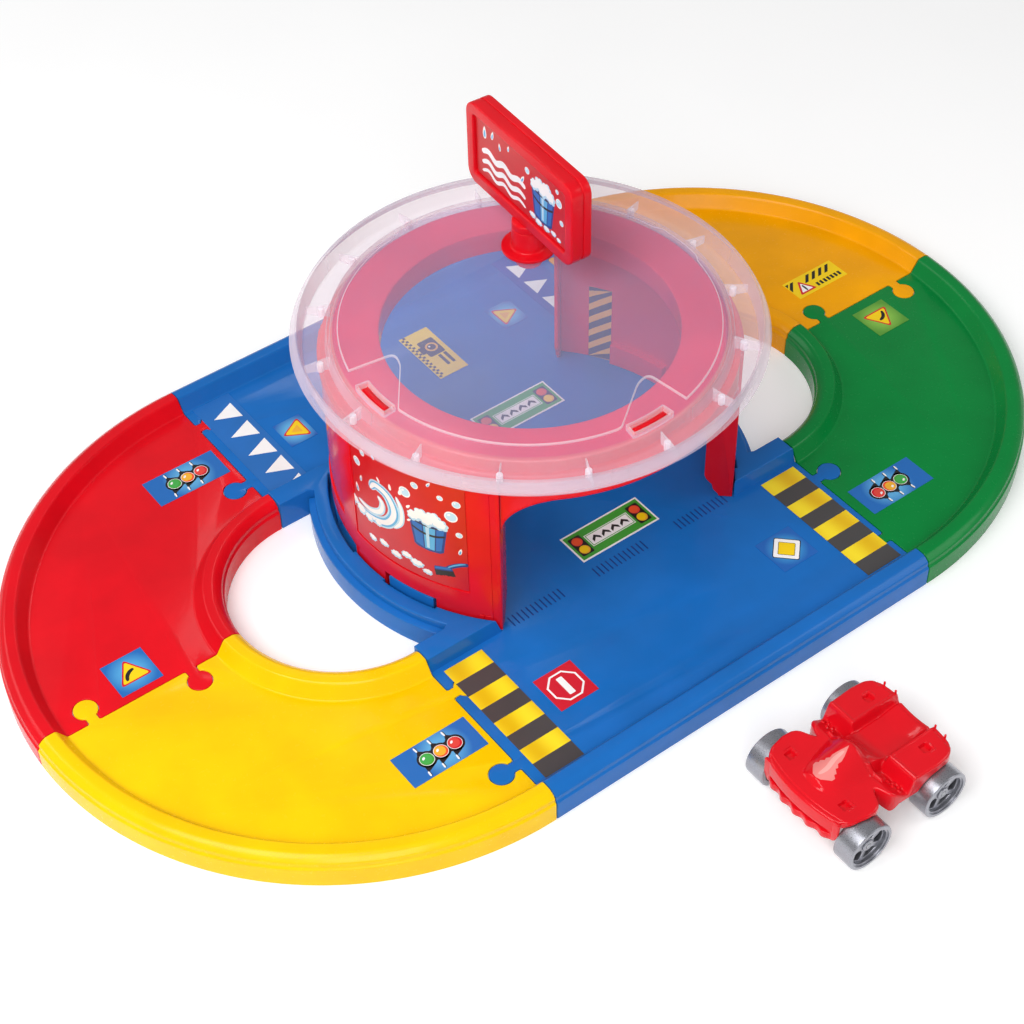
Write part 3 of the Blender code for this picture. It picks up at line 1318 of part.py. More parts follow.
def build():
    clear_scene()
    red = plastic("red_plastic", RED, 0.25)
    blue = plastic("blue_plastic", BLUE, 0.3)
    make_base(blue)
    make_track("track_back_left", -1, 90, red)
    make_track("track_front_left", -1, 180, plastic("yellow_plastic", YELLOW, 0.3))
    make_track("track_front_right", 1, 270, plastic("green_plastic", GREEN, 0.3))
    make_track("track_back_right", 1, 0, plastic("orange_plastic", ORANGE, 0.3))
    make_wall("wash_wall_left", -1, red)
    make_wall("wash_wall_right", 1, red)
    make_arch_ring(red)
    make_roof(plastic("clear_plastic", MILKY, 0.2, 0.0, 0.4))
    make_socket(red)
    axis = sign_axis()
    make_sign_frame(axis, red)
    make_sign_back(axis, red)
    make_sign_labels(axis)
    make_floor_labels()
    make_wall_labels()
    make_car(red, plastic("silver_plastic", SILVER, 0.35))


build()
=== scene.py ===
import math

import bmesh
import bpy
import numpy as np
from mathutils import Matrix, Vector
from mathutils.geometry import tessellate_polygon


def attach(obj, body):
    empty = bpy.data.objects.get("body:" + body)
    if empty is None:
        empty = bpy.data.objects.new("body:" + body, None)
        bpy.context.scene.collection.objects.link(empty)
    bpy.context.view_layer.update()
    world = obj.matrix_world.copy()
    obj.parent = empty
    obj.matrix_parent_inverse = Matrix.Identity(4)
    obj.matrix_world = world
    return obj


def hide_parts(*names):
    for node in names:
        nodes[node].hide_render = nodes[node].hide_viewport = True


# Dressed model of the toy car wash. Sizes in the dictionaries are millimetres, angles are degrees.
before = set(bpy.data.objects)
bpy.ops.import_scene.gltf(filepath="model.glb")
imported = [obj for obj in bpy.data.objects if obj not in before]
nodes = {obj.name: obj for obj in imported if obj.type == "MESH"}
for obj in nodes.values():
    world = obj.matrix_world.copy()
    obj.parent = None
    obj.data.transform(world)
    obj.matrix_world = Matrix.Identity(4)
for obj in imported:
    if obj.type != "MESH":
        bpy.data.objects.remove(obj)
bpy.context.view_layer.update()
mm = 0.001


# Linear red, green, blue and alpha of an sRGB hex colour.
def colour(code):
    parts = [int(code[i:i + 2], 16) / 255 for i in (0, 2, 4)]
    return [p / 12.92 if p <= 0.04045 else ((p + 0.055) / 1.055) ** 2.4 for p in parts] + [1.0]


# Sets a node's inputs: a socket is linked, any other value is set.
def setInputs(tree, node, inputs):
    for key, value in inputs.items():
        if isinstance(value, bpy.types.NodeSocket):
            tree.links.new(value, node.inputs[key])
        else:
            node.inputs[key].default_value = value


def addNode(tree, kind, inputs=None, **settings):
    node = tree.nodes.new(kind)
    for key, value in settings.items():
        setattr(node, key, value)
    setInputs(tree, node, inputs or {})
    return node


def shaded(code, factor):
    parts = [min(255, max(0, round(int(code[i:i + 2], 16) * factor))) for i in (0, 2, 4)]
    return "%02X%02X%02X" % tuple(parts)


# Material whose colour runs between two codes with one pattern, and its roughness between two values with
# another. A pattern is a noise's scale and detail, or a node kind with its output, ends, inputs and settings.
def surface(name, codes, coarse, fine, roughness, bump=None, values=None):
    material = bpy.data.materials.new(name)
    material.use_nodes = True
    tree = material.node_tree
    place = addNode(tree, "ShaderNodeTexCoord").outputs["Object"]
    raw, shares = [], []
    for pattern, (low, high) in ((coarse, (0.0, 1.0)), (fine, roughness)):
        if len(pattern) == 2:
            pattern = ("ShaderNodeTexNoise", 0, (0.3, 0.7), dict(zip(("Scale", "Detail"), pattern)), {})
        kind, output, (first, last), inputs, settings = pattern
        raw.append(addNode(tree, kind, {0: place, **inputs}, **settings).outputs[output])
        sizes = {"Value": raw[-1], "From Min": first, "From Max": last, "To Min": low, "To Max": high}
        shares.append(addNode(tree, "ShaderNodeMapRange", sizes).outputs["Result"])
    tones = {0: shares[0], 6: colour(codes[0]), 7: colour(codes[1])}
    inputs = {"Base Color": addNode(tree, "ShaderNodeMix", tones, data_type="RGBA").outputs[2], "Roughness": shares[1]}
    if bump:
        relief = {"Strength": bump[0], "Distance": bump[1], "Height": raw[1]}
        inputs["Normal"] = addNode(tree, "ShaderNodeBump", relief).outputs[0]
    setInputs(tree, tree.nodes["Principled BSDF"], {**inputs, **(values or {})})
    return material


# Moulded gloss plastic. The real one shows an even, deep colour with a faint cloudiness,
# and soft reflections that ripple a little with the mould's orange peel.
def glossPlastic(name, code, rough, gloss=0.4, coat=0.14):
    values = {"IOR": 1.3, "Specular IOR Level": gloss, "Coat Weight": coat, "Coat Roughness": 0.09, "Coat IOR": 1.4}
    return surface(name, (shaded(code, 0.97), shaded(code, 1.03)), (26.0, 3.0), (420.0, 2.0),
                   (rough - 0.03, rough + 0.04), (0.08, 0.00005), values)


# Printed film: an even ink under a satin varnish, with a very fine paper tooth in its gloss.
def printInk(name, code):
    return surface(name, (shaded(code, 0.97), shaded(code, 1.02)), (40.0, 2.0), (1500.0, 2.0), (0.30, 0.39),
                   (0.12, 0.00002))



# Quads over an n by m array of points, joined round where a direction is closed.
def gridPatch(points, closeU=False, closeV=False):
    p = np.asarray(points, float)
    n, m = p.shape[:2]
    i = np.arange(n if closeU else n - 1)[:, None]
    j = np.arange(m if closeV else m - 1)[None, :]
    k, l = (i + 1) % n, (j + 1) % m
    quads = np.stack([i * m + j, k * m + j, k * m + l, i * m + l], -1).reshape(-1, 4)
    return p.reshape(-1, 3), quads.tolist()


# Flat lid over a closed row of points, with holes where further rows are given.
def capPatch(outline, holes=()):
    rows = [np.asarray(row, float) for row in (outline, *holes)]
    points = np.concatenate(rows)
    if not holes:
        return points, [list(range(len(points)))]
    flat = [[Vector(v) for v in row] for row in rows]
    return points, [list(t) for t in tessellate_polygon(flat)]


def raised(outline, height):
    flat = np.asarray(outline, float)
    return np.column_stack([flat, np.full(len(flat), float(height))])


# Moves a closed counter-clockwise outline inwards by a distance, with mitred corners.
def inset(outline, distance):
    p = np.asarray(outline, float)
    before = p - np.roll(p, 1, 0)
    after = np.roll(p, -1, 0) - p
    normals = []
    for edge in (before, after):
        length = np.linalg.norm(edge, axis=1, keepdims=True)
        edge = edge / np.maximum(length, 1e-9)
        normals.append(np.column_stack([-edge[:, 1], edge[:, 0]]))
    dot = np.sum(normals[0] * normals[1], axis=1, keepdims=True)
    return p + distance * (normals[0] + normals[1]) / np.maximum(1 + dot, 0.35)


def signedArea(outline):
    p = np.asarray(outline, float)
    q = np.roll(p, -1, 0)
    return 0.5 * np.sum(p[:, 0] * q[:, 1] - q[:, 0] * p[:, 1])


def wound(outline):
    p = np.asarray(outline, float)
    keep = np.linalg.norm(p - np.roll(p, 1, 0), axis=1) > 1e-6
    p = p[keep]
    return p if signedArea(p) > 0 else p[::-1]


# Replaces each corner with a radius above zero by a short quadratic curve of that reach.
def fillet(points, radii, closed=True, steps=4):
    p = [np.asarray(v, float) for v in points]
    out = []
    for i, corner in enumerate(p):
        radius = radii[i] if isinstance(radii, (list, tuple)) else radii
        if not closed and i in (0, len(p) - 1) or radius <= 0:
            out.append(corner)
            continue
        back, ahead = p[i - 1] - corner, p[(i + 1) % len(p)] - corner
        lengths = np.linalg.norm(back), np.linalg.norm(ahead)
        reach = min(radius, 0.48 * lengths[0], 0.48 * lengths[1])
        start, end = corner + back / lengths[0] * reach, corner + ahead / lengths[1] * reach
        for s in range(steps + 1):
            t = s / steps
            out.append(start * (1 - t) ** 2 + corner * 2 * t * (1 - t) + end * t * t)
    return np.array(out)


def polar(angle, radius, along=0.0, centreX=0.0):
    a = math.radians(angle)
    x = centreX + radius * math.cos(a) - along * math.sin(a)
    return x, radius * math.sin(a) + along * math.cos(a)


def arc(radius, start, end, steps, centreX=0.0):
    return [polar(start + (end - start) * i / steps, radius, 0.0, centreX) for i in range(steps + 1)]


# Rows that round an edge off: the wall leans in by r (1 - cos t) while it climbs the last r (1 - sin t),
# t from 0 to 90 degrees. With way -1 the edge is a lower one.
def roundOver(outline, height, radius, steps=3, way=1):
    turns = [math.pi / 2 * s / steps for s in range(steps + 1)]
    return [raised(inset(outline, radius * (1 - math.cos(t))), height - way * radius * (1 - math.sin(t)))
            for t in turns]


# Solid between two heights over an outline, its upper and lower edges rounded, with upright holes.
def slab(outline, bottom, top, edge=0.35, low=0.0, steps=3, holes=()):
    outline = wound(outline)
    rows = roundOver(outline, bottom, low, steps, -1)[::-1] if low > 0 else [raised(outline, bottom)]
    rows += roundOver(outline, top, edge, steps) if edge > 0 else [raised(outline, top)]
    patches = [gridPatch(rows, closeV=True)]
    lids = [[], []]
    for hole in holes:
        hole = wound(hole)[::-1]
        walls = [raised(hole, bottom), *roundOver(hole, top, edge, steps)]
        patches.append(gridPatch(walls, closeV=True))
        lids[0].append(walls[0])
        lids[1].append(walls[-1])
    return patches + [capPatch(rows[0], lids[0]), capPatch(rows[-1], lids[1])]


# Sweeps a closed (radius, height) outline round a vertical line, its two ends bevelled.
def turnPart(profile, start, end, steps, centreX=0.0, bevel=0.3):
    profile = wound(profile)
    middle = float(np.mean(profile[:, 0]))
    small = math.degrees(bevel / middle) * (1 if end > start else -1)
    angles = np.concatenate([[start], np.linspace(start + small, end - small, steps + 1), [end]])
    rows = []
    for i, angle in enumerate(angles):
        ring = inset(profile, bevel) if bevel and i in (0, len(angles) - 1) else profile
        a = math.radians(angle)
        rows.append(np.column_stack([centreX + ring[:, 0] * math.cos(a), ring[:, 0] * math.sin(a), ring[:, 1]]))
    return [gridPatch(rows, closeV=True), capPatch(rows[0]), capPatch(rows[-1])]


# Turns an open or closed (radius, height) row of points a full turn round a vertical line.
def turnFull(profile, steps, centre=(0.0, 0.0), closed=True):
    p = np.asarray(profile, float)
    a = np.radians(np.arange(steps) * 360 / steps)[:, None]
    rows = np.stack([centre[0] + p[:, 0] * np.cos(a), centre[1] + p[:, 0] * np.sin(a),
                     np.repeat(p[None, :, 1], steps, 0)], -1)
    return [gridPatch(rows, closeU=True, closeV=closed)]


# Draws a closed (across, height) outline along X, its two ends bevelled.
def drawAlong(profile, start, end, steps, bevel=0.3):
    profile = wound(profile)
    places = np.concatenate([[start], np.linspace(start + bevel, end - bevel, steps + 1), [end]])
    rows = []
    for i, x in enumerate(places):
        ring = inset(profile, bevel) if i in (0, len(places) - 1) else profile
        rows.append(np.column_stack([np.full(len(ring), x), ring[:, 0], ring[:, 1]]))
    return [gridPatch(rows, closeV=True), capPatch(rows[0]), capPatch(rows[-1])]


# Upright plate on the ray at an angle, from a (radius, height) outline, its edges rounded.
def rayPlate(profile, angle, thickness, edge=0.3):
    patches, a = [], math.radians(angle)
    for points, faces in slab(profile, -thickness / 2, thickness / 2, edge, edge):
        r, z, along = points.T
        x, y = r * math.cos(a) - along * math.sin(a), r * math.sin(a) + along * math.cos(a)
        patches.append((np.column_stack([x, y, z]), faces))
    return patches


def moved(patches, matrix):
    turn = np.array(matrix)
    return [(np.asarray(p[0]) @ turn[:3, :3].T + turn[:3, 3], *p[1:]) for p in patches]


def addObject(name, data):
    thing = bpy.data.objects.new(name, data)
    bpy.context.scene.collection.objects.link(thing)
    return thing


# One mesh object from patches in millimetres. A patch may name its material by a third value.
def makePiece(name, patches, materials, body, replaced=None, sharp=32.0, weld=0.002):
    points, faces, kinds, count = [], [], [], 0
    for patch in patches:
        points.append(np.asarray(patch[0], float))
        faces += [[v + count for v in face] for face in patch[1]]
        kinds += [patch[2] if len(patch) > 2 else 0] * len(patch[1])
        count += len(patch[0])
    data = bpy.data.meshes.new(name)
    data.from_pydata((np.concatenate(points) * mm).tolist(), [], faces)
    data.polygons.foreach_set("material_index", kinds)
    mesh = bmesh.new()
    mesh.from_mesh(data)
    bmesh.ops.remove_doubles(mesh, verts=mesh.verts, dist=weld * mm)
    bmesh.ops.dissolve_degenerate(mesh, dist=0.0005 * mm, edges=mesh.edges)
    bmesh.ops.recalc_face_normals(mesh, faces=mesh.faces)
    mesh.to_mesh(data)
    mesh.free()
    data.shade_smooth()
    data.set_sharp_from_angle(angle=math.radians(sharp))
    for material in materials if isinstance(materials, list) else [materials]:
        data.materials.append(material)
    piece = addObject(name, data)
    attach(piece, body)
    if replaced:
        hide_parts(replaced)


mats = {
    "red": glossPlastic("gloss red moulded plastic", "E00F1E", 0.22),
    "yellow": glossPlastic("gloss yellow moulded plastic", "FFCB00", 0.24),
    "orange": glossPlastic("gloss orange moulded plastic", "F8A900", 0.24),
    "green": glossPlastic("gloss green moulded plastic", "00843A", 0.24),
    "blue": glossPlastic("gloss blue moulded plastic", "1A6BBB", 0.18),
}

# Camera, at the place and the lens worked out from the photograph
cameraFit = {"radius": 230, "lens": 73.26, "yaw": -35.962, "pitch": 45.961, "roll": -1.472,
             "distance": 6.310, "target": (-0.096, -0.023, 0.0)}


def makeCamera():
    yaw, pitch, roll = (math.radians(cameraFit[k]) for k in ("yaw", "pitch", "roll"))
    size = cameraFit["radius"] * mm
    back = Vector((math.cos(pitch) * math.sin(yaw), -math.cos(pitch) * math.cos(yaw), math.sin(pitch)))
    right = (-back).cross(Vector((0, 0, 1))).normalized()
    up = right.cross(-back)
    turnedRight = math.cos(roll) * right + math.sin(roll) * up
    turnedUp = -math.sin(roll) * right + math.cos(roll) * up
    data = bpy.data.cameras.new("camera")
    data.lens, data.sensor_width = cameraFit["lens"], 36.0
    camera = addObject("camera", data)
    stand = Vector(cameraFit["target"]) * size + back * cameraFit["distance"] * size
    camera.matrix_world = Matrix.Translation(stand) @ Matrix((turnedRight, turnedUp, back)).transposed().to_4x4()
    bpy.context.scene.camera = camera


makeCamera()

# Soft boxes round the set: place and aim in metres, size, watts
lamps = {
    "key": ((-1.05, -0.3, 1.4), (0, 0, 0.05), (1.0, 1.0), 16.5),
    "side": ((-0.9, -1.3, 1.2), (0, 0, 0.1), (0.8, 0.8), 9.5),
    "fill": ((1.2, -1.1, 1.0), (0, 0, 0.1), (0.8, 0.8), 4.5),
    "back": ((-1.0, 1.4, 1.3), (0, 0, 0.1), (1.2, 0.7), 6.0),
    "window": ((0.47, 0.94, 1.27), (-0.13, -0.04, 0.16), (0.22, 0.16), 0.5),
}


def makeLamps():
    for name, (place, aim, size, watts) in lamps.items():
        data = bpy.data.lights.new(name, "AREA")
        data.shape, data.energy = "RECTANGLE", watts
        data.size, data.size_y = size
        lamp = addObject(name, data)
        lamp.location = place
        lamp.rotation_euler = (Vector(aim) - Vector(place)).to_track_quat("-Z", "Y").to_euler()


# Value between two strengths: the second for the named kinds of ray, the first for all others.
def byRay(tree, first, second, *kinds):
    ray = addNode(tree, "ShaderNodeLightPath")
    seen = ray.outputs[kinds[0]]
    for kind in kinds[1:]:
        seen = addNode(tree, "ShaderNodeMath", {0: seen, 1: ray.outputs[kind]}, operation="MAXIMUM").outputs[0]
    return addNode(tree, "ShaderNodeMapRange", {"Value": seen, "To Min": first, "To Max": second}).outputs["Result"]


# White behind the object, and a softer light on it
def makeWorld():
    world = bpy.data.worlds.new("studio")
    bpy.context.scene.world = world
    world.use_nodes = True
    tree = world.node_tree
    strength = byRay(tree, 0.34, 1.0, "Is Camera Ray", "Is Transmission Ray")
    setInputs(tree, tree.nodes["Background"], {"Color": (1, 1, 1, 1), "Strength": strength})


# Pale floor: its own light makes it white to the camera, and the object's shadow still shows on it.
def makeFloor():
    material = surface("pale studio floor", ("F2F2F2", "F4F4F4"), (6.0, 2.0), (6.0, 2.0), (0.9, 0.9))
    tree = material.node_tree
    glow = byRay(tree, 0.0, 0.24, "Is Camera Ray", "Is Glossy Ray", "Is Transmission Ray")
    setInputs(tree, tree.nodes["Principled BSDF"], {"Emission Color": (1, 1, 1, 1), "Emission Strength": glow})
    data = bpy.data.meshes.new("floor")
    reach, low = 6.0, -0.0002
    corners = [(-reach, -reach, low), (reach, -reach, low), (reach, reach, low), (-reach, reach, low)]
    data.from_pydata(corners, [], [(0, 1, 2, 3)])
    data.materials.append(material)
    floor = addObject("floor", data)


makeLamps()
makeWorld()
makeFloor()
bpy.context.scene.view_settings.view_transform = "Standard"
print("stage ready")

# Road. The curb section runs from its skirt in towards the lane.
road = {"half": 157, "outer": 230, "inner": 80, "top": 13, "skin": 2.2, "gap": 0.6, "middle": 155,
        "curb": 20.5, "knobAcross": 35, "neck": 3.6, "head": 8, "reach": 12, "flare": 1.8, "spare": 0.5}
curbOver = ((0, 0), (0, 15), (1.4, 16.4), (1.4, 19.5), (4.5, 22.3), (6.9, 23.5), (13.5, 23.5), (14.7, 22.3),
            (20.4, 13.3), (21.6, 13.03))
curbRadii = (0, 0.5, 0.7, 0.9, 1.6, 1.6, 1.2, 1.2, 1.4, 0)
curbUnder = ((21.6, 12.6), (18.2, 12.0), (13.5, 21.3), (6.9, 21.3), (3.6, 19.5), (3.6, 16.4), (2.2, 15), (2.2, 0))


# Closed section of a hollow curb; side is 1 where the lane lies inside its skirt.
def curbSection(edge, side):
    over = fillet(curbOver, list(curbRadii), closed=False, steps=5)
    points = np.concatenate([over, np.array(curbUnder, float)])
    return np.column_stack([edge - side * points[:, 0], points[:, 1]])


# Outline of a puzzle knob or socket as (across, beyond the joint): flared root, neck and round head.
def knobPoints(socket):
    spare = road["spare"] if socket else 0
    sign = -1 if socket else 1
    neck, head, edge = road["neck"] + spare, road["head"] + spare, -road["gap"] / 2
    flare = road["flare"]
    root = []
    for s in range(6):
        t = s / 5
        root.append((-neck - flare * (1 - t) ** 2, edge + sign * flare * t * t))
    first = math.asin(neck / head)
    points = list(root)
    for i in range(29):
        turn = -first - (2 * math.pi - 2 * first) * i / 28
        points.append((head * math.sin(turn), sign * (road["reach"] - head * math.cos(turn))))
    return points + [(-x, y) for x, y in reversed(root)]


def jointPoints(knobOutside):
    low, high = road["middle"] - road["knobAcross"], road["middle"] + road["knobAcross"]
    return [(place + x, y) for place, socket in ((low, knobOutside), (high, not knobOutside))
            for x, y in knobPoints(socket)]


def trackOutline(centreX, start):
    inner = road["inner"] + road["curb"] - road["skin"]
    outer = road["outer"] - road["curb"] + road["skin"]
    end, edge = start + 90, road["gap"] / 2
    first = [(inner, -edge), *jointPoints(True), (outer, -edge)]
    last = [(outer, -edge), *reversed(jointPoints(False)), (inner, -edge)]
    outline = [polar(start, r, -beyond, centreX) for r, beyond in first]
    outline += arc(outer, start, end, 72, centreX)[1:-1]
    outline += [polar(end, r, beyond, centreX) for r, beyond in last]
    outline += arc(inner, end, start, 48, centreX)[1:-1]
    return outline


# Quarter ring of road: a floor slab with knobs between two hollow curbs.
def makeTrack(name, side, start, material):
    centreX = side * road["half"]
    patches = slab(trackOutline(centreX, start), road["top"] - road["skin"], road["top"], 0.4)
    for edge, inward, steps in ((road["outer"], 1, 80), (road["inner"], -1, 48)):
        gap = math.degrees(road["gap"] / 2 / edge)
        patches += turnPart(curbSection(edge, inward), start + gap, start + 90 - gap, steps, centreX, 0.28)
    makePiece(name + "_road", patches, material, "playset", name)


makeTrack("track_back_left", -1, 90, mats["red"])
makeTrack("track_front_left", -1, 180, mats["yellow"])
makeTrack("track_front_right", 1, 270, mats["green"])
makeTrack("track_back_right", 1, 0, mats["orange"])
print("road pieces ready")

# Base
walk = {"lane": 98, "slope": 3, "top": 23.5, "inner": 140, "outer": 156, "ledge": 151.5, "ledgeTop": 17.3,
        "ledgeEdge": 16.5, "half": 31, "round": 1.0, "slotRadius": 141.8,
        "slots": ((-37, -5), (8.5, 26)), "tabs": ((-32.5, -20), (10, 25)), "tabIn": 134.9, "tabOut": 139.2,
        "tabTop": 28.5}
# Ribs under the floor: a cross and a round hub
ribs = {"x": 141.6, "y": 211, "half": 1.2, "hub": 14, "low": 1, "top": 11.5}


def baseEdge(side, lane):
    return [(side * (road["half"] + beyond), lane * across) for across, beyond in jointPoints(side * lane > 0)]


def baseOutline():
    end = road["half"] - road["gap"] / 2
    outside = road["outer"] - road["curb"] + road["skin"]
    inside, radius = walk["lane"] - 1.1, walk["slotRadius"]
    corner = math.degrees(math.asin(inside / radius))
    outline = [(-end, -outside), (end, -outside), *reversed(baseEdge(1, -1))]
    outline += [(end, -inside), *arc(radius, -corner, corner, 48), (end, inside), *baseEdge(1, 1)]
    outline += [(end, outside), (-end, outside), *reversed(baseEdge(-1, 1))]
    outline += [(-end, inside), *arc(radius, 180 - corner, 180 + corner, 48), (-end, -inside), *baseEdge(-1, -1)]
    return outline


# Plan of a walk: round the wall's foot inside with two clip slots, stepped back over the gap in the ring.
def walkOutline(side, laneEdge):
    end, middle = road["half"] - road["gap"] / 2, 90 - 90 * side
    gap, inner = road["inner"], walk["inner"]
    laneAngle = math.degrees(math.asin(laneEdge / inner))
    gapAngle = math.degrees(math.asin(gap / walk["outer"]))
    outline = [(side * end, laneEdge * side)]
    marks = [laneAngle, *[a for span in sorted(walk["slots"], reverse=True) for a in reversed(span)], -laneAngle]
    for k in range(len(marks) - 1):
        radius = walk["slotRadius"] if k % 2 else inner
        steps = 8 if k in (0, len(marks) - 2) else max(4, round(abs(marks[k] - marks[k + 1]) / 1.5))
        outline += arc(radius, middle + marks[k], middle + marks[k + 1], steps)
    outline += [(side * end, -laneEdge * side), (side * end, -gap * side)]
    outline.append(polar(middle - gapAngle, walk["outer"]))
    outline += arc(walk["ledge"], middle - walk["half"], middle + walk["half"], 44)
    outline.append(polar(middle + gapAngle, walk["outer"]))
    outline.append((side * end, gap * side))
    return outline


# Walk from its foot to its rounded top: the lane side leans in by the slope's share of the height.
def walkPatches(side):
    top, crown = walk["top"], walk["round"]
    plain = wound(walkOutline(side, walk["lane"]))
    leaning = wound(walkOutline(side, walk["lane"] - walk["slope"] * 0.9))
    rows = [raised(plain, 0), raised(plain, road["top"]), *roundOver(leaning, top, crown, 5)]
    patches = [gridPatch(rows, closeV=True), capPatch(rows[0]), capPatch(rows[-1])]
    middle = 90 - 90 * side
    low = [(149, 0), (156, 0), (156, walk["ledgeEdge"]), (151.2, walk["ledgeTop"]), (149, walk["ledgeTop"] + 0.1)]
    patches += turnPart(fillet(low, [0, 0, 0.9, 0.8, 0]), middle - 30.6, middle + 30.6, 44, 0, 0.8)
    for span in walk["tabs"]:
        outline = arc(walk["tabOut"], middle + span[0], middle + span[1], 10)
        outline += arc(walk["tabIn"], middle + span[1], middle + span[0], 10)
        patches += slab(outline, road["top"] - 1, walk["tabTop"], 0.7)
    return patches


def makeBase():
    patches = slab(baseOutline(), road["top"] - road["skin"], road["top"], 0.4)
    end = road["half"] - road["gap"] / 2
    for lane in (-1, 1):
        section = curbSection(road["outer"], 1)
        section[:, 0] *= lane
        patches += drawAlong(section, -end, end, 24, 0.28)
    for side in (-1, 1):
        patches += walkPatches(side)
    for x, y in ((ribs["x"], ribs["half"]), (ribs["half"], ribs["y"])):
        patches += slab([(-x, -y), (x, -y), (x, y), (-x, y)], ribs["low"], ribs["top"], 0)
    patches += slab(arc(ribs["hub"], 0, 350, 35), 0, ribs["top"], 0)
    makePiece("base_road", patches, mats["blue"], "playset", "base_plate")


makeBase()
print("base ready")

# Dark blue film for painted shade: it stands in for the shade inside short floor grooves.
mats["darkBlue"] = glossPlastic("dark blue painted groove shade", "123F86", 0.4)

# Rows of short flat dark blue strips in the hall's front edge: painted shade where grooves would be, with nothing cut
# into the floor
grooveShadeRows = {"starts": (-90, -19, 52), "count": 12, "pitch": 3.75, "width": 1.1, "near": -99.5, "far": -90.5, "z": 13.03}


def makeGrooveShadeRows():
    t, patches = grooveShadeRows, []
    for start in t["starts"]:
        for k in range(t["count"]):
            left, right = (start + k * t["pitch"] + side * t["width"] / 2 for side in (-1, 1))
            outline = [(left, t["near"]), (right, t["near"]), (right, t["far"]), (left, t["far"])]
            patches.append(capPatch(raised(fillet(outline, 0.45), t["z"])))
    makePiece("hall_edge_painted_groove_shade", patches, mats["darkBlue"], "playset")


makeGrooveShadeRows()

# Walls of the wash house
wall = {"outer": 139.2, "inner": 136.7, "half": 44.1, "foot": 13.8, "top": 144.7, "field": 36, "postLow": -11.2,
        "postHigh": -3.4, "low": 45, "high": 140, "recess": 1.1, "crease": 42.1, "creaseDrop": 0.5,
        "notchRadius": 134.5, "notchTop": 30, "back": 2.6, "post": 1.05, "finIn": 119, "finOut": 138.8, "fin": 2.6,
        "finStep": 19, "finDeep": 10.5}
finShares = ((0.0, 1.0), (0.08, 0.97), (0.18, 0.82), (0.30, 0.62), (0.42, 0.57), (0.56, 0.52), (0.70, 0.28),
             (0.82, 0.11), (1.0, 0.0))
footMark = {"start": 38.4, "end": 41.5, "low": 25.4, "high": 26.6, "left": 39.7, "right": 40.2, "bottom": 18.5,
            "deep": 0.5}


# Sorted grid lines between two ends, about a step apart, with a close pair at each border.
def gridLines(low, high, step, borders, soft):
    values = set(np.linspace(low, high, max(2, round((high - low) / step)) + 1).round(4))
    for border in borders:
        values = {v for v in values if abs(v - border) > soft * 1.5 or v in (low, high)}
        values |= {round(border - soft / 2, 4), round(border + soft / 2, 4)}
    return np.array(sorted(v for v in values if low - 1e-6 <= v <= high + 1e-6))


# Closed shell over a grid of angles and heights between an outer radius, given by a function,
# and an inner one; cells that keep() refuses stay open, and open borders get side walls.
def shellPatch(angles, heights, outer, inner, keep, middle):
    n, m = len(angles), len(heights)
    turn = np.radians(middle + angles)[:, None]
    z = np.broadcast_to(heights[None, :], (n, m))
    rows = []
    for radius in (outer(angles[:, None], heights[None, :]), np.full((n, m), float(inner))):
        rows.append(np.stack([radius * np.cos(turn), radius * np.sin(turn), z], -1).reshape(-1, 3))
    cellAngle, cellHeight = (angles[:-1] + angles[1:]) / 2, (heights[:-1] + heights[1:]) / 2
    kept = np.array([[keep(a, h) for h in cellHeight] for a in cellAngle])
    faces, half = [], n * m
    for i in range(n - 1):
        for j in range(m - 1):
            if not kept[i, j]:
                continue
            quad = [i * m + j, (i + 1) * m + j, (i + 1) * m + j + 1, i * m + j + 1]
            faces += [quad, [v + half for v in reversed(quad)]]
            sides = ((i, j - 1, 0, 1), (i + 1, j, 1, 2), (i, j + 1, 2, 3), (i - 1, j, 3, 0))
            for oi, oj, a, b in sides:
                if not (0 <= oi < n - 1 and 0 <= oj < m - 1 and kept[oi, oj]):
                    faces.append([quad[b], quad[a], quad[a] + half, quad[b] + half])
    return np.concatenate(rows), faces


# Outer radius of a wall: full, less the recess in the two fields beside the post, the drop past each crease
# and the small foot mark.
def wallRadius(a, z):
    radius = wall["outer"] + 0 * a + 0 * z
    size = np.abs(a)
    post = (a > wall["postLow"]) & (a < wall["postHigh"])
    radius = radius - wall["recess"] * ((size < wall["field"]) & ~post & (z > wall["low"]) & (z < wall["high"]))
    radius = radius - wall["creaseDrop"] * (size > wall["crease"])
    m = footMark
    bar = (size > m["start"]) & (size < m["end"]) & (z > m["low"]) & (z < m["high"])
    stem = (size > m["left"]) & (size < m["right"]) & (z > m["bottom"]) & (z < m["high"])
    return radius - m["deep"] * (bar | stem)


# The wall stands everywhere but in its notches for the clips.
def outsideNotch(a, z):
    return z >= wall["notchTop"] or not any(low < a < high for low, high in walk["slots"])


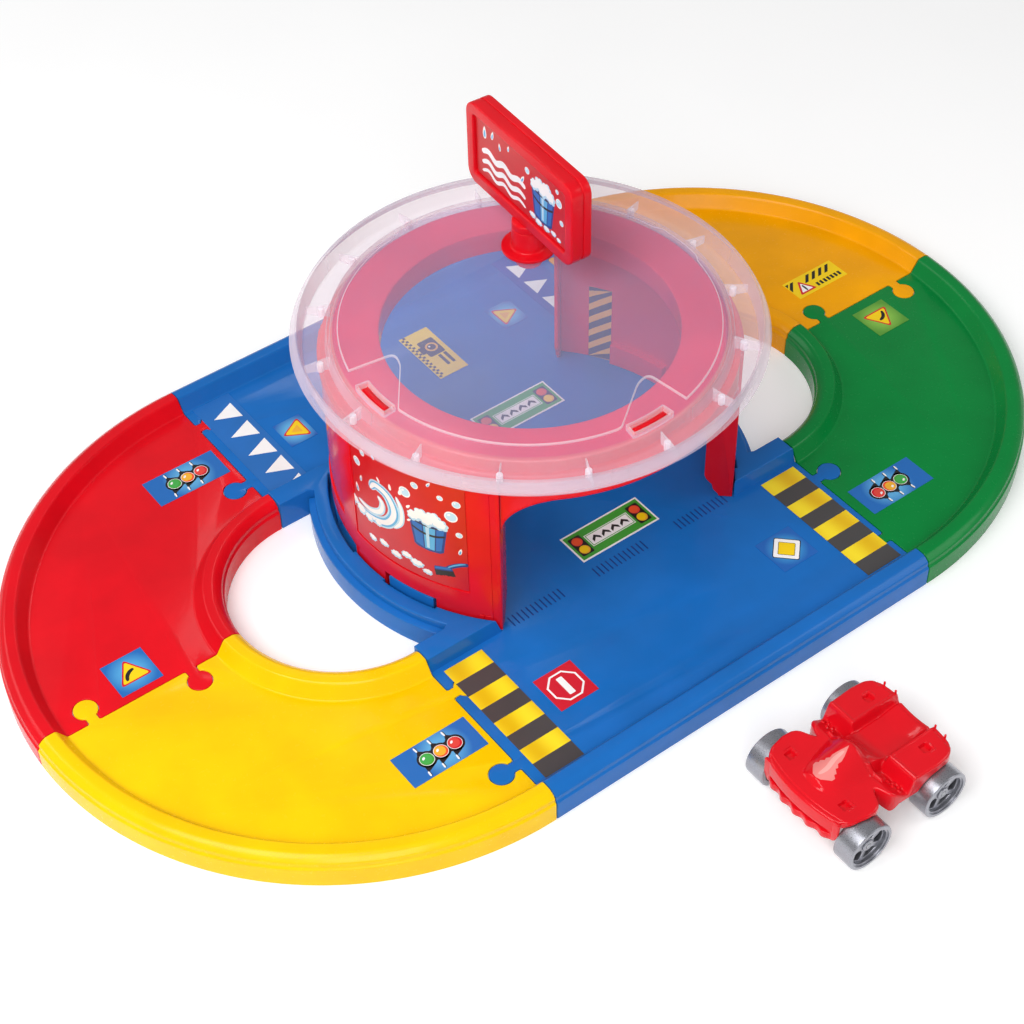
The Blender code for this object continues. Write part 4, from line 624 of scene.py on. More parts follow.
def makeWall(name, side):
    middle, w, m = 90 - 90 * side, wall, footMark
    marks = [w["field"], w["crease"], m["start"], m["end"], m["left"], m["right"]]
    borders = [s * v for v in marks for s in (-1, 1)] + [w["postLow"], w["postHigh"]]
    angles = gridLines(-w["half"], w["half"], 1.5, borders, 0.1)
    angles = np.array(sorted(set(angles) | {float(v) for span in walk["slots"] for v in span}))
    heights = gridLines(w["foot"], w["top"], 9, [w["low"], w["high"], m["low"], m["high"], m["bottom"]], 0.25)
    heights = np.array(sorted(set(heights) | {float(w["notchTop"])}))
    patches = [shellPatch(angles, heights, wallRadius, w["inner"], outsideNotch, middle)]
    inside, outside, top, foot = w["notchRadius"] - w["back"], w["inner"] + 0.6, w["notchTop"], w["foot"] + 1
    hook = [(inside, foot), (w["notchRadius"], foot), (w["notchRadius"], top), (outside, top),
            (outside, top + w["back"]), (inside, top + w["back"])]
    block = fillet([hook[0], (outside, foot), hook[4], hook[5]], [0.5, 0, 0.5, 0.8])
    for low, high in walk["slots"]:
        steps = max(4, round((high - low) / 2))
        patches += turnPart(fillet(hook, [0.5, 0, 0, 0, 0.5, 0.8]), middle + low, middle + high, steps, 0, 0)
        for start in (low - w["post"], high):
            patches += turnPart(block, middle + start, middle + start + w["post"], 1, 0, 0)
    low, high = w["foot"] - 0.5, w["top"] - 0.5
    profile = [(w["finOut"], low)]
    profile += [(w["finIn"] + back * w["finDeep"], low + up * w["finStep"]) for up, back in finShares]
    profile = fillet(profile + [(w["finIn"], high), (w["finOut"], high)], 0.6, steps=3)
    for s in (-1, 1):
        patches += rayPlate(profile, middle + s * w["half"], w["fin"], 0.5)
    makePiece(name + "_panel", patches, mats["red"], "playset", name, 26)


makeWall("wash_wall_left", -1)
makeWall("wash_wall_right", 1)
print("walls ready")

# Ring with its arches and roof tabs
ring = {"hole": 98, "outer": 137.5, "bottom": 145, "top": 147.6, "lipWide": 2.2, "lipDrop": 5, "plate": 157.6,
        "plateEdge": 127.4, "skin": 2.4, "archOut": 137.1, "archIn": 134.6, "archLow": 133, "archDrop": 30,
        "archRun": 38, "lip": 2.4, "lipRise": 0.4, "tabIn": 120.4, "tabOut": 123.0, "tabHalf": 5.6, "tabTop": 160.9,
        "steps": 160}


# Band over a road opening. Its lower edge follows z = low - drop (1 - sqrt(1 - u u)), u growing from 0
# to 1 over the last run before each end; the lip keeps its width along the edge's own normal.
def archPatches(middle):
    r = ring
    half = math.radians(90 - wall["half"]) * r["archOut"] - wall["fin"] / 2 - 0.6
    t = np.linspace(-math.pi / 2, math.pi / 2, 121)
    s = half * np.sin(t)
    u = np.clip(1 - (half - np.abs(s)) / r["archRun"], 0, 1)
    z = r["archLow"] - r["archDrop"] * (1 - np.sqrt(np.maximum(0, 1 - u * u)))
    ds, dz = np.gradient(s), np.gradient(z)
    size = np.maximum(np.hypot(ds, dz), 1e-9)
    normal = np.stack([-dz / size, ds / size], -1)
    top = (r["bottom"] + r["top"]) / 2
    rows = []
    out, face = r["archOut"], r["archOut"] + r["lipRise"]
    plan = ((0.0, r["archIn"]), (0.0, out - 0.3), (0.15, out + 0.2), (0.5, face), (r["lip"] - 0.3, face),
            (r["lip"], out + 0.3), (r["lip"] + 0.5, out))
    for away, radius in plan:
        rows.append((np.clip(s + normal[:, 0] * away, -half, half), z + normal[:, 1] * away, radius))
    last = rows[-1][0]
    rows += [(last, np.full_like(z, top), r["archOut"]), (last, np.full_like(z, top), r["archIn"])]
    points = np.zeros((len(s), len(rows), 3))
    for k, (along, height, radius) in enumerate(rows):
        angle = math.radians(middle) + along / r["archOut"]
        points[:, k] = np.stack([radius * np.cos(angle), radius * np.sin(angle), height], -1)
    return [gridPatch(points, closeV=True), capPatch(points[0]), capPatch(points[-1])]


def sectorOutline(low, high, start, end, steps):
    return arc(high, start, end, steps) + arc(low, end, start, steps)


def makeRing():
    r = ring
    lip = r["hole"] + r["lipWide"]
    low, under, inside = r["bottom"] - r["lipDrop"], r["plate"] - r["skin"], r["plateEdge"] - r["skin"]
    profile = [(r["hole"], low), (lip, low), (lip, under), (inside, under), (inside, r["bottom"]),
               (r["outer"], r["bottom"]), (r["outer"], r["top"]), (r["plateEdge"], r["top"]),
               (r["plateEdge"], r["plate"]), (r["hole"], r["plate"])]
    patches = turnFull(fillet(profile, [0.8, 0.8, 0.8, 1.0, 0.6, 0.4, 0.8, 0.8, 2.0, 1.2]), r["steps"])
    for middle in (90, 270):
        patches += archPatches(middle)
    for middle in (180, 270):
        outline = sectorOutline(r["tabIn"], r["tabOut"], middle - r["tabHalf"], middle + r["tabHalf"], 10)
        patches += slab(outline, r["plate"] - 1.2, r["tabTop"], 0.6)
    makePiece("wash_arch_ring_piece", patches, mats["red"], "playset", "wash_arch_ring")


makeRing()
print("ring ready")


# Clear polypropylene with a milky bloom. The real one lets the parts below show sharp but pale,
# turns whiter where it is seen edge on, and has crisp pale highlights on its folds. It scatters
# light forward, so little of the light that falls through it is lost below.
def milkyPlastic(name, code, facing, grazing):
    material = surface(name, (shaded(code, 0.985), shaded(code, 1.01)), (14.0, 2.0), (300.0, 2.0), (0.13, 0.20),
                       (0.15, 0.00004), {"IOR": 1.5})
    tree = material.node_tree
    edge = addNode(tree, "ShaderNodeLayerWeight", {"Blend": 0.5}).outputs["Facing"]
    veil = addNode(tree, "ShaderNodeMapRange", {"Value": edge, "From Min": 0.25, "From Max": 0.95, "To Min": facing,
                                                "To Max": grazing}, interpolation_type="SMOOTHSTEP")
    alpha = byRay(tree, veil.outputs["Result"], 0.03, "Is Shadow Ray")
    setInputs(tree, tree.nodes["Principled BSDF"], {"Alpha": alpha})
    return material


mats["deck"] = milkyPlastic("milky clear plastic deck", "D2D0FF", 0.14, 0.48)
mats["rim"] = milkyPlastic("milky clear plastic rim", "E6D4E2", 0.235, 0.66)
mats["fold"] = milkyPlastic("milky clear plastic folds and ribs", "FAF2FA", 0.46, 0.85)
mats["thin"] = milkyPlastic("milky clear plastic thin ribs", "F8F0F8", 0.24, 0.52)

# Roof tray
roof = {"join": 128, "deck": 161.5, "under": 159.5, "deckEdge": 131.8, "gutterIn": 133, "gutterOut": 148.4,
        "gutter": 149.9, "gutterUnder": 148.0, "crest": 150.4, "crestOut": 151.6, "rim": 165, "knee": (154.6, 160.5),
        "lip": (156, 157), "wall": 2.0, "plateau": 163, "plateauRadius": 124.8, "front": 118.5, "notch": 93,
        "angles": (166.3, 164.4, 170.5, 189), "mirror": 225, "corner": 7, "bumpRadius": 127.3, "bumpHalf": 9.6,
        "slotIn": 118.2, "slotOut": 125.2, "slotHalf": 6.7, "collar": 1.4, "collarRise": 1.3, "collarLow": 158.3,
        "ribs": 16, "rib": 0.9, "ribLow": 150.1, "ribEnd": 156.4, "ribTop": 160.4, "knob": 2.2, "knobTop": 156.6,
        "knobRadius": 138.5, "signX": 43, "signY": 57.5, "signHole": 9.6, "steps": 192}


# Outline of the raised middle: wide behind, with a notch on each side of the narrower front.
def plateauOutline():
    r = roof
    first, notchIn, notchOut, frontStart = r["angles"]
    turn = 2 * r["mirror"]

    # Radius of the wide part, which swells out a little in two places.
    def rimRadius(angle):
        near = min(abs((angle - c + 180) % 360 - 180) for c in (0, 90))
        share = min(1, max(0, (r["bumpHalf"] + 2 - near) / 4))
        return r["plateauRadius"] + (r["bumpRadius"] - r["plateauRadius"]) * share * share * (3 - 2 * share)

    def bend(points, radii):
        return list(fillet(points, radii, closed=False, steps=7))[1:-1]

    outline = [polar(a, rimRadius(a)) for a in np.linspace(turn - first - 360, first, 220)]
    corners = [(first, r["plateauRadius"]), (notchIn, r["notch"]), (notchOut, r["notch"]), (frontStart, r["front"])]
    radii = [0, 3, r["corner"], r["corner"], 5, 0]
    outline += bend([outline[-2], *(polar(*c) for c in corners), polar(frontStart + 2, r["front"])], radii)
    outline += arc(r["front"], frontStart + 2, turn - frontStart - 2, 60)
    outline += bend([outline[-2], *(polar(turn - a, size) for a, size in corners[::-1]), outline[0]], radii[::-1])
    return wound(outline)


# Round-cornered outline of an arc-shaped slot, or of the collar that stands a spare width outside it.
def slotOutline(angle, spare):
    half = roof["slotHalf"] + math.degrees(spare / roof["slotIn"])
    outline = sectorOutline(roof["slotIn"] - spare, roof["slotOut"] + spare, angle - half, angle + half, 12)
    radii = [0.0] * len(outline)
    for k in (0, 12, 13, 25):
        radii[k] = 1.0 if spare else 0.5
    return wound(fillet(outline, radii, steps=3))


def makeRoof():
    r = roof
    over = fillet([(r["join"], r["deck"]), (r["deckEdge"], r["deck"]), (r["gutterIn"], r["gutter"]),
                   (r["gutterOut"], r["gutter"]), (r["crest"], r["rim"]), (r["crestOut"], r["rim"]), r["knee"],
                   r["lip"]],
                  [0, 1.2, 1.6, 2.0, 0.8, 0.9, 2.0, 0], closed=False, steps=5)
    under = fillet([(r["lip"][0] - r["wall"], r["lip"][1]), (r["knee"][0] - r["wall"], r["knee"][1] - 1),
                    (r["crestOut"] - 0.6, r["rim"] - r["wall"]), (r["gutterOut"] + 1, r["gutterUnder"] + 1.6),
                    (r["gutterOut"] - 0.6, r["gutterUnder"]), (r["gutterIn"] - r["wall"], r["gutterUnder"]),
                    (r["deckEdge"] - r["wall"], r["under"]), (r["join"], r["under"])],
                   [0, 1.2, 0.5, 0.8, 1.2, 1.2, 1.6, 0], closed=False, steps=4)
    patches = [(*patch, 1) for patch in turnFull(np.concatenate([over, under]), r["steps"], closed=False)]
    circle = [polar(a, r["join"]) for a in np.arange(r["steps"]) * 360 / r["steps"]]
    plateau = plateauOutline()
    collars = {a: slotOutline(a, r["collar"]) for a in (180, 270)}
    hole = [(r["signX"] + x, r["signY"] + y) for x, y in (polar(a, r["signHole"]) for a in range(0, 360, 8))]

    # Flat lid over the circle at a height, open where the outlines stand
    def sheet(height, outlines):
        return (*capPatch(raised(circle, height), [raised(v, height) for v in outlines]), 0)

    patches.append(sheet(r["deck"], (plateau, *collars.values())))
    climb = [raised(plateau, r["deck"]), *roundOver(plateau, r["plateau"], 0.8, 6)]
    patches.append((*gridPatch(climb, closeV=True), 2))
    patches.append((*capPatch(climb[-1], [raised(hole, r["plateau"])]), 0))
    patches.append(sheet(r["under"], (*collars.values(), hole)))
    patches.append((*gridPatch([raised(hole, r["under"]), raised(hole, r["plateau"])], closeV=True), 2))
    makePiece("roof_tray_shell", patches, [mats["deck"], mats["rim"], mats["fold"]], "roof",
              "roof_tray", 30)
    parts, thin = [], []
    for angle, outline in collars.items():
        thin += slab(outline, r["collarLow"], r["deck"] + r["collarRise"], 0.5, holes=[slotOutline(angle, 0)])
    low, high = r["ribLow"], r["knobTop"]
    profile = [(r["deckEdge"] + 0.9, low), (r["gutterOut"] + 0.2, low), (r["crest"] - 1.5, r["ribEnd"]),
               (r["deckEdge"] + 0.2, r["ribTop"])]
    profile = fillet(profile, [0, 0, 0.5, 0.5])
    knob = fillet([(0, high), (r["knob"], high), (r["knob"], low)], [0, 0.6, 0], closed=False)
    for k in range(r["ribs"]):
        angle = 360 * k / r["ribs"]
        thin += rayPlate(profile, angle, r["rib"], 0.3)
        parts += turnFull(knob, 20, polar(angle, r["knobRadius"]), closed=False)
    makePiece("roof_tray_folds", [(*patch, 1) for patch in thin] + parts, [mats["fold"], mats["thin"]], "roof",
              None, 40)


makeRoof()
print("roof ready")


# Sign, in its own frame: X along the board, -Y its front, Z up
sign = {"place": (43, 57.5, 0), "turn": -93.4, "length": 123, "height": 64, "corner": 10, "border": 8.5,
        "recess": 2.6, "front": -7.85, "shell": 8.2, "groove": 1.4, "grooveIn": 0.8, "depth": 15.7, "bottom": 187.1,
        "stem": 7.4, "collar": 11.3, "collarLow": 181.6, "collarTop": 186.8, "stemLow": 159.3, "neck": 9}
socket = {"flange": 18.6, "seat": 163.3, "flangeTop": 165.5, "tube": 11.3, "top": 181.3, "bore": 7.8, "plug": 9.2,
          "low": 151.3}
signMatrix = Matrix.Translation(sign["place"]) @ Matrix.Rotation(math.radians(sign["turn"]), 4, "Z")


def roundedRectangle(length, height, corner, steps=8):
    points = []
    for sx, sy, first in ((1, 1, 0), (-1, 1, 90), (-1, -1, 180), (1, -1, 270)):
        x, y = sx * (length / 2 - corner), sy * (height / 2 - corner)
        for k in range(steps + 1):
            a = math.radians(first + 90 * k / steps)
            points.append((x + corner * math.cos(a), y + corner * math.sin(a)))
    return points


# Board outline set in from its edge by a distance.
def boardOutline(away, corner=None):
    size = sign["corner"] - away if corner is None else corner
    return roundedRectangle(sign["length"] - 2 * away, sign["height"] - 2 * away, max(size, 0.7))


# Stands flat patches up: their height runs from a depth behind the board's front towards the front.
def stood(patches, depth):
    middle = sign["bottom"] + sign["height"] / 2
    y = sign["front"] + depth
    return moved(patches, signMatrix @ Matrix(((1, 0, 0, 0), (0, 0, -1, y), (0, 1, 0, middle), (0, 0, 0, 1))))


def makeSign():
    s = sign
    face = boardOutline(s["border"], 2.2)
    back = s["depth"] - s["shell"] - s["groove"]
    front = stood(slab(boardOutline(0), 0, s["shell"], 1.1, 0.25, 5, [face]), s["shell"])
    front += stood(slab(boardOutline(s["border"] - 0.6, 2.6), 0, s["shell"] - s["recess"], 0), s["shell"])
    low = s["bottom"] - 0.6
    neck = [(-s["neck"], -7.1), (s["neck"], -7.1), (s["neck"], 0.2), (-s["neck"], 0.2)]
    front += moved(slab(fillet(neck, 1.5), low, s["bottom"] + 2, 0), signMatrix)
    stem = [(0, s["stemLow"]), (s["stem"], s["stemLow"]), (s["stem"], s["collarLow"]), (s["collar"], s["collarLow"]),
            (s["collar"], s["collarTop"]), (s["neck"] - 1, s["bottom"] + 0.4), (0, s["bottom"] + 0.4)]
    stem = fillet(stem, [0, 0.8, 0.3, 0.5, 1.1, 0.6, 0], closed=False)
    front += turnFull(stem, 72, s["place"][:2], closed=False)
    makePiece("sign_front_frame", front, mats["red"], "sign", "sign_frame", 28)
    cover = stood(slab(boardOutline(s["grooveIn"]), 0, s["groove"], 0), s["shell"] + s["groove"] + 0.02)
    # the cover is made face up and turned over, so that its rounded edge looks to the back
    over = Matrix.Rotation(math.pi, 4, "Y")
    shell = slab(boardOutline(0), 0, back, 1.1, 0.4, 5, [face])
    shell += slab(boardOutline(s["border"] - 0.6, 2.6), 0, back - s["recess"], 0)
    cover += stood(moved(shell, over), s["shell"] + s["groove"])
    makePiece("sign_rear_cover", cover, mats["red"], "sign", "sign_back_cover", 28)
    k = socket
    profile = [(k["bore"], k["low"]), (k["plug"], k["low"]), (k["plug"], k["seat"]), (k["flange"], k["seat"]),
               (k["flange"], k["flangeTop"]), (k["tube"] + 0.3, k["flangeTop"]), (k["tube"], k["top"]),
               (k["bore"], k["top"])]
    profile = fillet(profile, [0.3, 0.6, 0.1, 0.3, 0.8, 1.8, 0.6, 0.4])
    makePiece("sign_socket_piece", turnFull(profile, 96, s["place"][:2]), mats["red"], "roof",
              "sign_socket", 28)


makeSign()
print("sign ready")

mats["polished"] = glossPlastic("polished red moulded plastic", "E00F1E", 0.17, 0.3, 0.6)

# Toy quad; x and y from its middle, its front to -X
car = {"place": (0, -323.5, 0), "front": -49.8, "rear": 48.3, "half": 36.2, "corner": 8, "frontBow": 6.0,
       "rearBow": 2.2, "edge": 2.0, "skin": 1.7, "skirt": 25.5, "deck": 37.2, "foot": 29.5, "rearDeck": 42.0,
       "seat": 34.2, "seatHalf": 11.5, "hood": 51, "hoodStart": -39, "hoodEnd": -8, "wheelX": 31, "axle": 17,
       "clear": 18.2, "pocket": 2.7, "pocketDeep": 2.6}
carWidthShares = ((-50, 0.97), (-41, 1.0), (-30, 1.05), (-22, 1.04), (-18.5, 1.0), (-16.5, 0.93), (-15, 0.83),
                  (-13, 0.73), (-11, 0.70), (-9, 0.72), (-7.2, 0.83), (-5.8, 0.94), (-4, 1.0), (0, 1.02), (12, 1.03),
                  (30, 1.05), (48, 1.0))
carPockets = ((-33.5, 23.6), (31, 24.2))
footBumps = ((2.4, 24.0), (4.6, 26.5), (2.0, 28.6), (5.2, 30.6), (3.0, 33.2))


def smooth(low, high, value):
    t = np.clip((value - low) / (high - low), 0, 1)
    return t * t * (3 - 2 * t)


# Half width of the body's plan: a smooth run through the shares, drawn in round each end corner.
def carHalf(x):
    xs, shares = zip(*carWidthShares)
    fine = np.linspace(-50, 48.5, 400)
    plain = np.interp(fine, xs, shares)
    kernel = np.hanning(15) / np.hanning(15).sum()
    plain = np.convolve(np.pad(plain, 7, mode="edge"), kernel, "valid")
    width = car["half"] * np.interp(x, fine, plain) - car["edge"]
    r = car["corner"]
    for end in (x - car["front"] - car["edge"], car["rear"] - car["edge"] - x):
        d = np.clip(r - end, 0, r)
        width = width - (r - np.sqrt(r * r - d * d))
    return width


# Top of the body. Front deck, foot wells, rear fenders and seat run into each other by smooth steps;
# the hood is a crowned oval, height (1 - (y / width) squared) squared, between two short grips.
def carTop(x, y):
    c, size = car, np.abs(y)
    z = c["deck"] - 0.0016 * size ** 2 + 0.4 * smooth(-46, -30, x)
    z = z + (c["foot"] - z) * smooth(-21, -11, x)
    start = 7.5 + 0.06 * (size - 20)
    fender = smooth(start - 2.6, start + 2.6, x) * smooth(c["seatHalf"], c["seatHalf"] + 4.5, size)
    z = z + (c["rearDeck"] + 0.6 - 0.0012 * size ** 2 - z) * fender
    border = np.maximum(smooth(1.1, 0.3, np.abs(x - start - 3.4)) * smooth(c["seatHalf"] + 3, c["seatHalf"] + 5, size),
                        smooth(1.1, 0.3, np.abs(size - c["seatHalf"] - 5.0)) * smooth(start + 2.4, start + 4, x))
    z = z + 0.45 * border
    saddle = c["seat"] + 7.5 * smooth(14, -6, x) + 2.2 * smooth(30, 47, x) + 0.012 * size ** 2
    seat = smooth(c["seatHalf"] + 4.5, c["seatHalf"], size) * smooth(-12, 6, x)
    z = z + (saddle - z) * seat
    along = np.clip((x - c["hoodStart"]) / (c["hoodEnd"] - c["hoodStart"]), 0, 1)
    width = 7.0 + 11.0 * np.sqrt(along)
    crown = np.clip(1 - (size / width) ** 2, 0, 1) ** 1.4
    height = 3.0 * smooth(c["hoodStart"], c["hoodStart"] + 3.5, x) + (c["hood"] - c["deck"] - 3.0) * along ** 1.1
    hood = c["deck"] + height * crown
    z = np.where(x < 7, z + np.maximum(hood - z, 0) * smooth(6.5, -7.5, x), z)
    grip = np.clip(1 - ((x + 3.4 - 0.22 * (size - 17)) / 2.0) ** 2, 0, 1) ** 0.6
    grip = grip * smooth(11, 13.5, size) * smooth(24.5, 22.5, size)
    z = z + 2.3 * grip
    bow = c["frontBow"] * (y / c["half"]) ** 2
    z = z - 0.8 * (1 - smooth(3.4, 4.0, x - (c["front"] + bow)))
    z = z - 0.7 * (1 - smooth(3.2, 3.8, c["rear"] - c["rearBow"] * (y / c["half"]) ** 2 - x))
    for px, py in carPockets:
        box = np.maximum(np.abs(x - px), np.abs(size - py))
        z = z - c["pocketDeep"] * smooth(c["pocket"] + 0.3, c["pocket"] - 0.3, box)
        corner = np.maximum(np.abs(x - px - 0.6), np.abs(size - py - 0.6)) - c["pocket"] - 1.0
        z = z + 0.45 * smooth(0.6, 0.2, np.abs(corner)) * (x > px - 1) * (size > py - 1)
    for px, py in footBumps:
        z = z + 1.3 * np.clip(1 - np.maximum(np.abs(x - px), np.abs(size - py)) / 1.3, 0, 0.5) * 2
    return z


def makeCarBody():
    c = car
    xs = np.linspace(c["front"] + c["edge"], c["rear"] - c["edge"], 230)
    t = np.linspace(-1, 1, 181)
    X = np.repeat(xs[:, None], len(t), 1)
    Y = t[None, :] * carHalf(xs)[:, None]
    share = (X - xs[0]) / (xs[-1] - xs[0])
    frontBow, rearBow = c["frontBow"] * (Y / c["half"]) ** 2, c["rearBow"] * (Y / c["half"]) ** 2
    X = X + frontBow * (1 - smooth(0, 0.35, share)) - rearBow * smooth(0.65, 1, share)
    Z = carTop(X, Y)
    top = np.stack([X, Y, Z], -1)
    patches = [gridPatch(top)]
    loop = np.concatenate([top[:, 0], top[-1, 1:-1], top[::-1, -1], top[0, -2:0:-1]])
    plan = wound(loop[:, :2])
    if not np.allclose(plan[0], loop[0, :2]):
        loop = loop[::-1]
    outward = loop[:, :2] - inset(loop[:, :2], 1.0)
    outward /= np.maximum(np.linalg.norm(outward, axis=1, keepdims=True), 1e-9)
    wheel = np.minimum(np.abs(loop[:, 0] - c["wheelX"]), np.abs(loop[:, 0] + c["wheelX"]))
    well = c["axle"] + np.sqrt(np.maximum(0, c["clear"] ** 2 - wheel ** 2))
    side = np.abs(loop[:, 1]) > 28
    tip = 5.0 * np.clip(1 - np.abs(loop[:, 0] + 4.5) / 4.5, 0, 1)
    bottom = np.where(side & (wheel < c["clear"]), np.maximum(c["skirt"], well), c["skirt"] - tip)
    bottom = np.minimum(bottom, loop[:, 2] - c["edge"] - 0.3)
    edge, skin = c["edge"], c["skin"]
    section = []
    for k in range(6):
        a = math.pi / 2 * k / 5
        section.append((edge * math.sin(a), loop[:, 2] - edge * (1 - math.cos(a))))
    section += [(edge + 0.1, bottom + 0.3), (edge - 0.2, bottom), (edge - skin + 0.2, bottom),
                (edge - skin, np.maximum(bottom + 0.3, loop[:, 2] - edge - 0.2)), (0.0, loop[:, 2] - skin)]
    rows = [np.column_stack([loop[:, :2] + outward * away, height]) for away, height in section]
    patches.append(gridPatch(rows, closeV=True))
    under = top.copy()
    under[..., 2] -= c["skin"]
    patches.append(gridPatch(under))
    for y in (-26, -17, 17, 26):
        peg = fillet([(0, 44.2), (0.75, 44.2), (0.75, 39), (0, 39)], [0, 0.4, 0, 0], closed=False)
        patches += turnFull(peg, 14, (c["rear"] - 1.0 - c["rearBow"] * (y / c["half"]) ** 2, y), closed=False)
    for side in (-1, 1):
        tab = [(17, 36), (18, 25), (20, 21.5), (22.5, 22.5), (24.5, 18.5), (28, 17.5), (30.5, 20), (32, 24),
               (32.5, 36)]
        tab = fillet([(side * u, v) for u, v in tab], 1.6)
        stand = Matrix(((0, 0, -1, c["front"] + 5.4), (1, 0, 0, 0), (0, 1, 0, 0), (0, 0, 0, 1)))
        patches += moved(slab(tab, 0, 1.8, 0.4, 0.4), stand)
    makePiece("car_shell", moved(patches, Matrix.Translation(c["place"])), mats["polished"], "car",
              "car_body", 38)


makeCarBody()


# Chassis: a shallow tray, two axle bearings and scalloped bumpers, x = edge + bow (y / half) squared - a wave.
def makeChassis():
    c = car
    patches = slab(fillet([(-46, -13), (44.5, -13), (44.5, 13), (-46, 13)], 2), 20, 26.5, 0.6, 0.8)
    across = Matrix(((1, 0, 0, 0), (0, 0, 1, 0), (0, 1, 0, 0), (0, 0, 0, 1)))
    for x in (-c["wheelX"], c["wheelX"]):
        block = fillet([(x - 4.5, 21), (x + 4.5, 21), (x + 3.6, 13.2), (x - 3.6, 13.2)], [0, 0, 2.6, 2.6])
        bore = np.array(arc(1.95, 0, 345, 23, x)) + (0, c["axle"])
        patches += moved(slab(block, -12, 12, 0.5, 0.5, holes=[bore]), across)
    y = np.linspace(-28, 28, 97)
    front = np.column_stack([-50.4 + c["frontBow"] * (y / c["half"]) ** 2 - 0.8 * np.cos(2 * math.pi * y / 11.2), y])
    outline = np.vstack([front, [(-43.5, 28), (-43.5, -28)]])
    patches += slab(outline, 17.5, 23, 0.8, 0.8)
    y = np.linspace(-19, 19, 67)
    rear = np.column_stack([48.2 + 0.5 * np.cos(2 * math.pi * y / 9.5), y])
    patches += slab(np.vstack([rear, [(43, 19), (43, -19)]]), 17.5, 23, 0.8, 0.8)
    makePiece("car_chassis_tray", moved(patches, Matrix.Translation(c["place"])), mats["polished"], "car",
              "car_chassis", 36)


makeChassis()

# Matt silver paint on moulded wheels: soft metallic sheen with fine flakes.
def silverPlastic(name, code):
    return surface(name, (shaded(code, 0.93), shaded(code, 1.06)), (1800.0, 1.0), (1800.0, 1.0), (0.26, 0.36),
                   values={"Metallic": 0.85})


# Bright steel rod: drawn finish with fine rings in its gloss.
def steelRod(name):
    rings = ("ShaderNodeTexWave", 1, (0, 1), {"Scale": 900.0, "Distortion": 1.5}, {"bands_direction": "Y"})
    return surface(name, ("9A9CA0", "B4B6BA"), rings, rings, (0.25, 0.38), values={"Metallic": 1.0})


mats["silver"] = silverPlastic("silver painted moulded wheel", "A2A3AB")
mats["steel"] = steelRod("drawn steel axle")
# Black for painted shade: the cup inside each wheel darkens its windows where only shade lies.
mats["dark"] = glossPlastic("black painted shade inside the wheel", "17171A", 0.55)

wheel = {"radius": 17, "width": 15, "inner": 31.5, "rim": 13.2, "step": 1.2, "dish": 3.5, "web": 3, "hub": 4.2,
         "hubLength": 9, "bore": 1.9, "spokes": 5, "spokeHalf": 1.8}


# Wheel about its own axis, from its inner face outwards: barrel, web with wedge windows, a black cup behind the windows
# that is painted shade for the hollow inside, and hub.
def wheelPatches():
    w = wheel
    r, rim, width, step = w["radius"], w["rim"], w["width"], w["step"]
    barrel = [(rim, 0), (r, 0), (r, width), (rim + step, width), (rim + step, width - step), (rim, width - step)]
    patches = turnFull(fillet(barrel, [0.4, 1.2, 1.3, 0.4, 0.2, 0.3], steps=5), 96)
    outer = width - w["dish"]
    windows = []
    for k in range(w["spokes"]):
        pitch = 360 / w["spokes"]
        ends = []
        for radius in (w["hub"] + 1.2, rim - 1.0):
            half = pitch / 2 - math.degrees(w["spokeHalf"] / radius)
            ends.append(arc(radius, k * pitch - half, k * pitch + half, 8))
        outline = ends[0] + ends[1][::-1]
        radii = [0.0] * len(outline)
        for corner in (0, 8, 9, 17):
            radii[corner] = 0.8
        windows.append(fillet(outline, radii, steps=3))
    inside = outer - w["web"]
    patches += slab(arc(rim + 0.1, 0, 356.25, 95), inside, outer, 0.35, 0, 3, windows)
    # Black cup behind the web: painted shade inside the hollow wheel, not a moulded part.
    shadeCup = [(0, inside - 2.6), (rim - 0.2, inside - 2.6), (rim - 0.2, 0.8), (rim - 0.7, 0.8),
             (rim - 0.7, inside - 3.2), (0, inside - 3.2)]
    patches += [(*patch, 1) for patch in turnFull(shadeCup, 64, closed=False)]
    low, high = outer - w["hubLength"], outer + step
    hub = [(w["bore"], low), (w["hub"], low), (w["hub"], high), (w["bore"], high)]
    return patches + turnFull(fillet(hub, [0, 0.5, 0.9, 0.2]), 48)


def makeWheels():
    patches = wheelPatches()
    x, y, _ = car["place"]
    for end, place, body in (("front", -1, "front_axle"), ("rear", 1, "rear_axle")):
        for name, side in (("left", -1), ("right", 1)):
            turn = Matrix.Rotation(-side * math.pi / 2, 4, "X")
            spot = Matrix.Translation((x + place * car["wheelX"], y + side * wheel["inner"], car["axle"]))
            node = f"car_wheel_{end}_{name}"
            makePiece(node + "_piece", moved(patches, spot @ turn), [mats["silver"], mats["dark"]], body,
                      node, 30)


makeWheels()
for name in ("car_front_axle", "car_rear_axle"):
    nodes[name].data.materials.clear()
    nodes[name].data.materials.append(mats["steel"])
print("car ready")


# Inks of the printed films, as hex colours
inkCodes = {"white": "FDFCFB", "black": "1B191A", "grey": "474545", "yellow": "FFD500", "amber": "F6B52E",
            "red": "D5132A", "orange": "F0582A", "green": "3FA535", "lampGreen": "43AE4C", "lampRed": "E5453A",
            "paleBlue": "BFE3F5", "sky": "5BB4E4", "blue": "1D70BF", "navy": "173E86", "crimson": "CE1018",
            "base": "1A6BBB", "arrow": "EE8682", "arrowPale": "F4A9A2",
            "deep blue": "1A56AE"}
inks = {key: printInk("printed film " + key, code) for key, code in inkCodes.items()}


# Printed film with a paler glow round a point: colour by distance over the glow's reach.
def glowInk(name, code, glow, centre, reach):
    away = ("ShaderNodeVectorMath", 1, (reach * mm, reach * 0.45 * mm), {1: [v * mm for v in centre]},
            {"operation": "DISTANCE"})
    return surface(name, (code, glow), away, (900.0, 2.0), (0.30, 0.39))


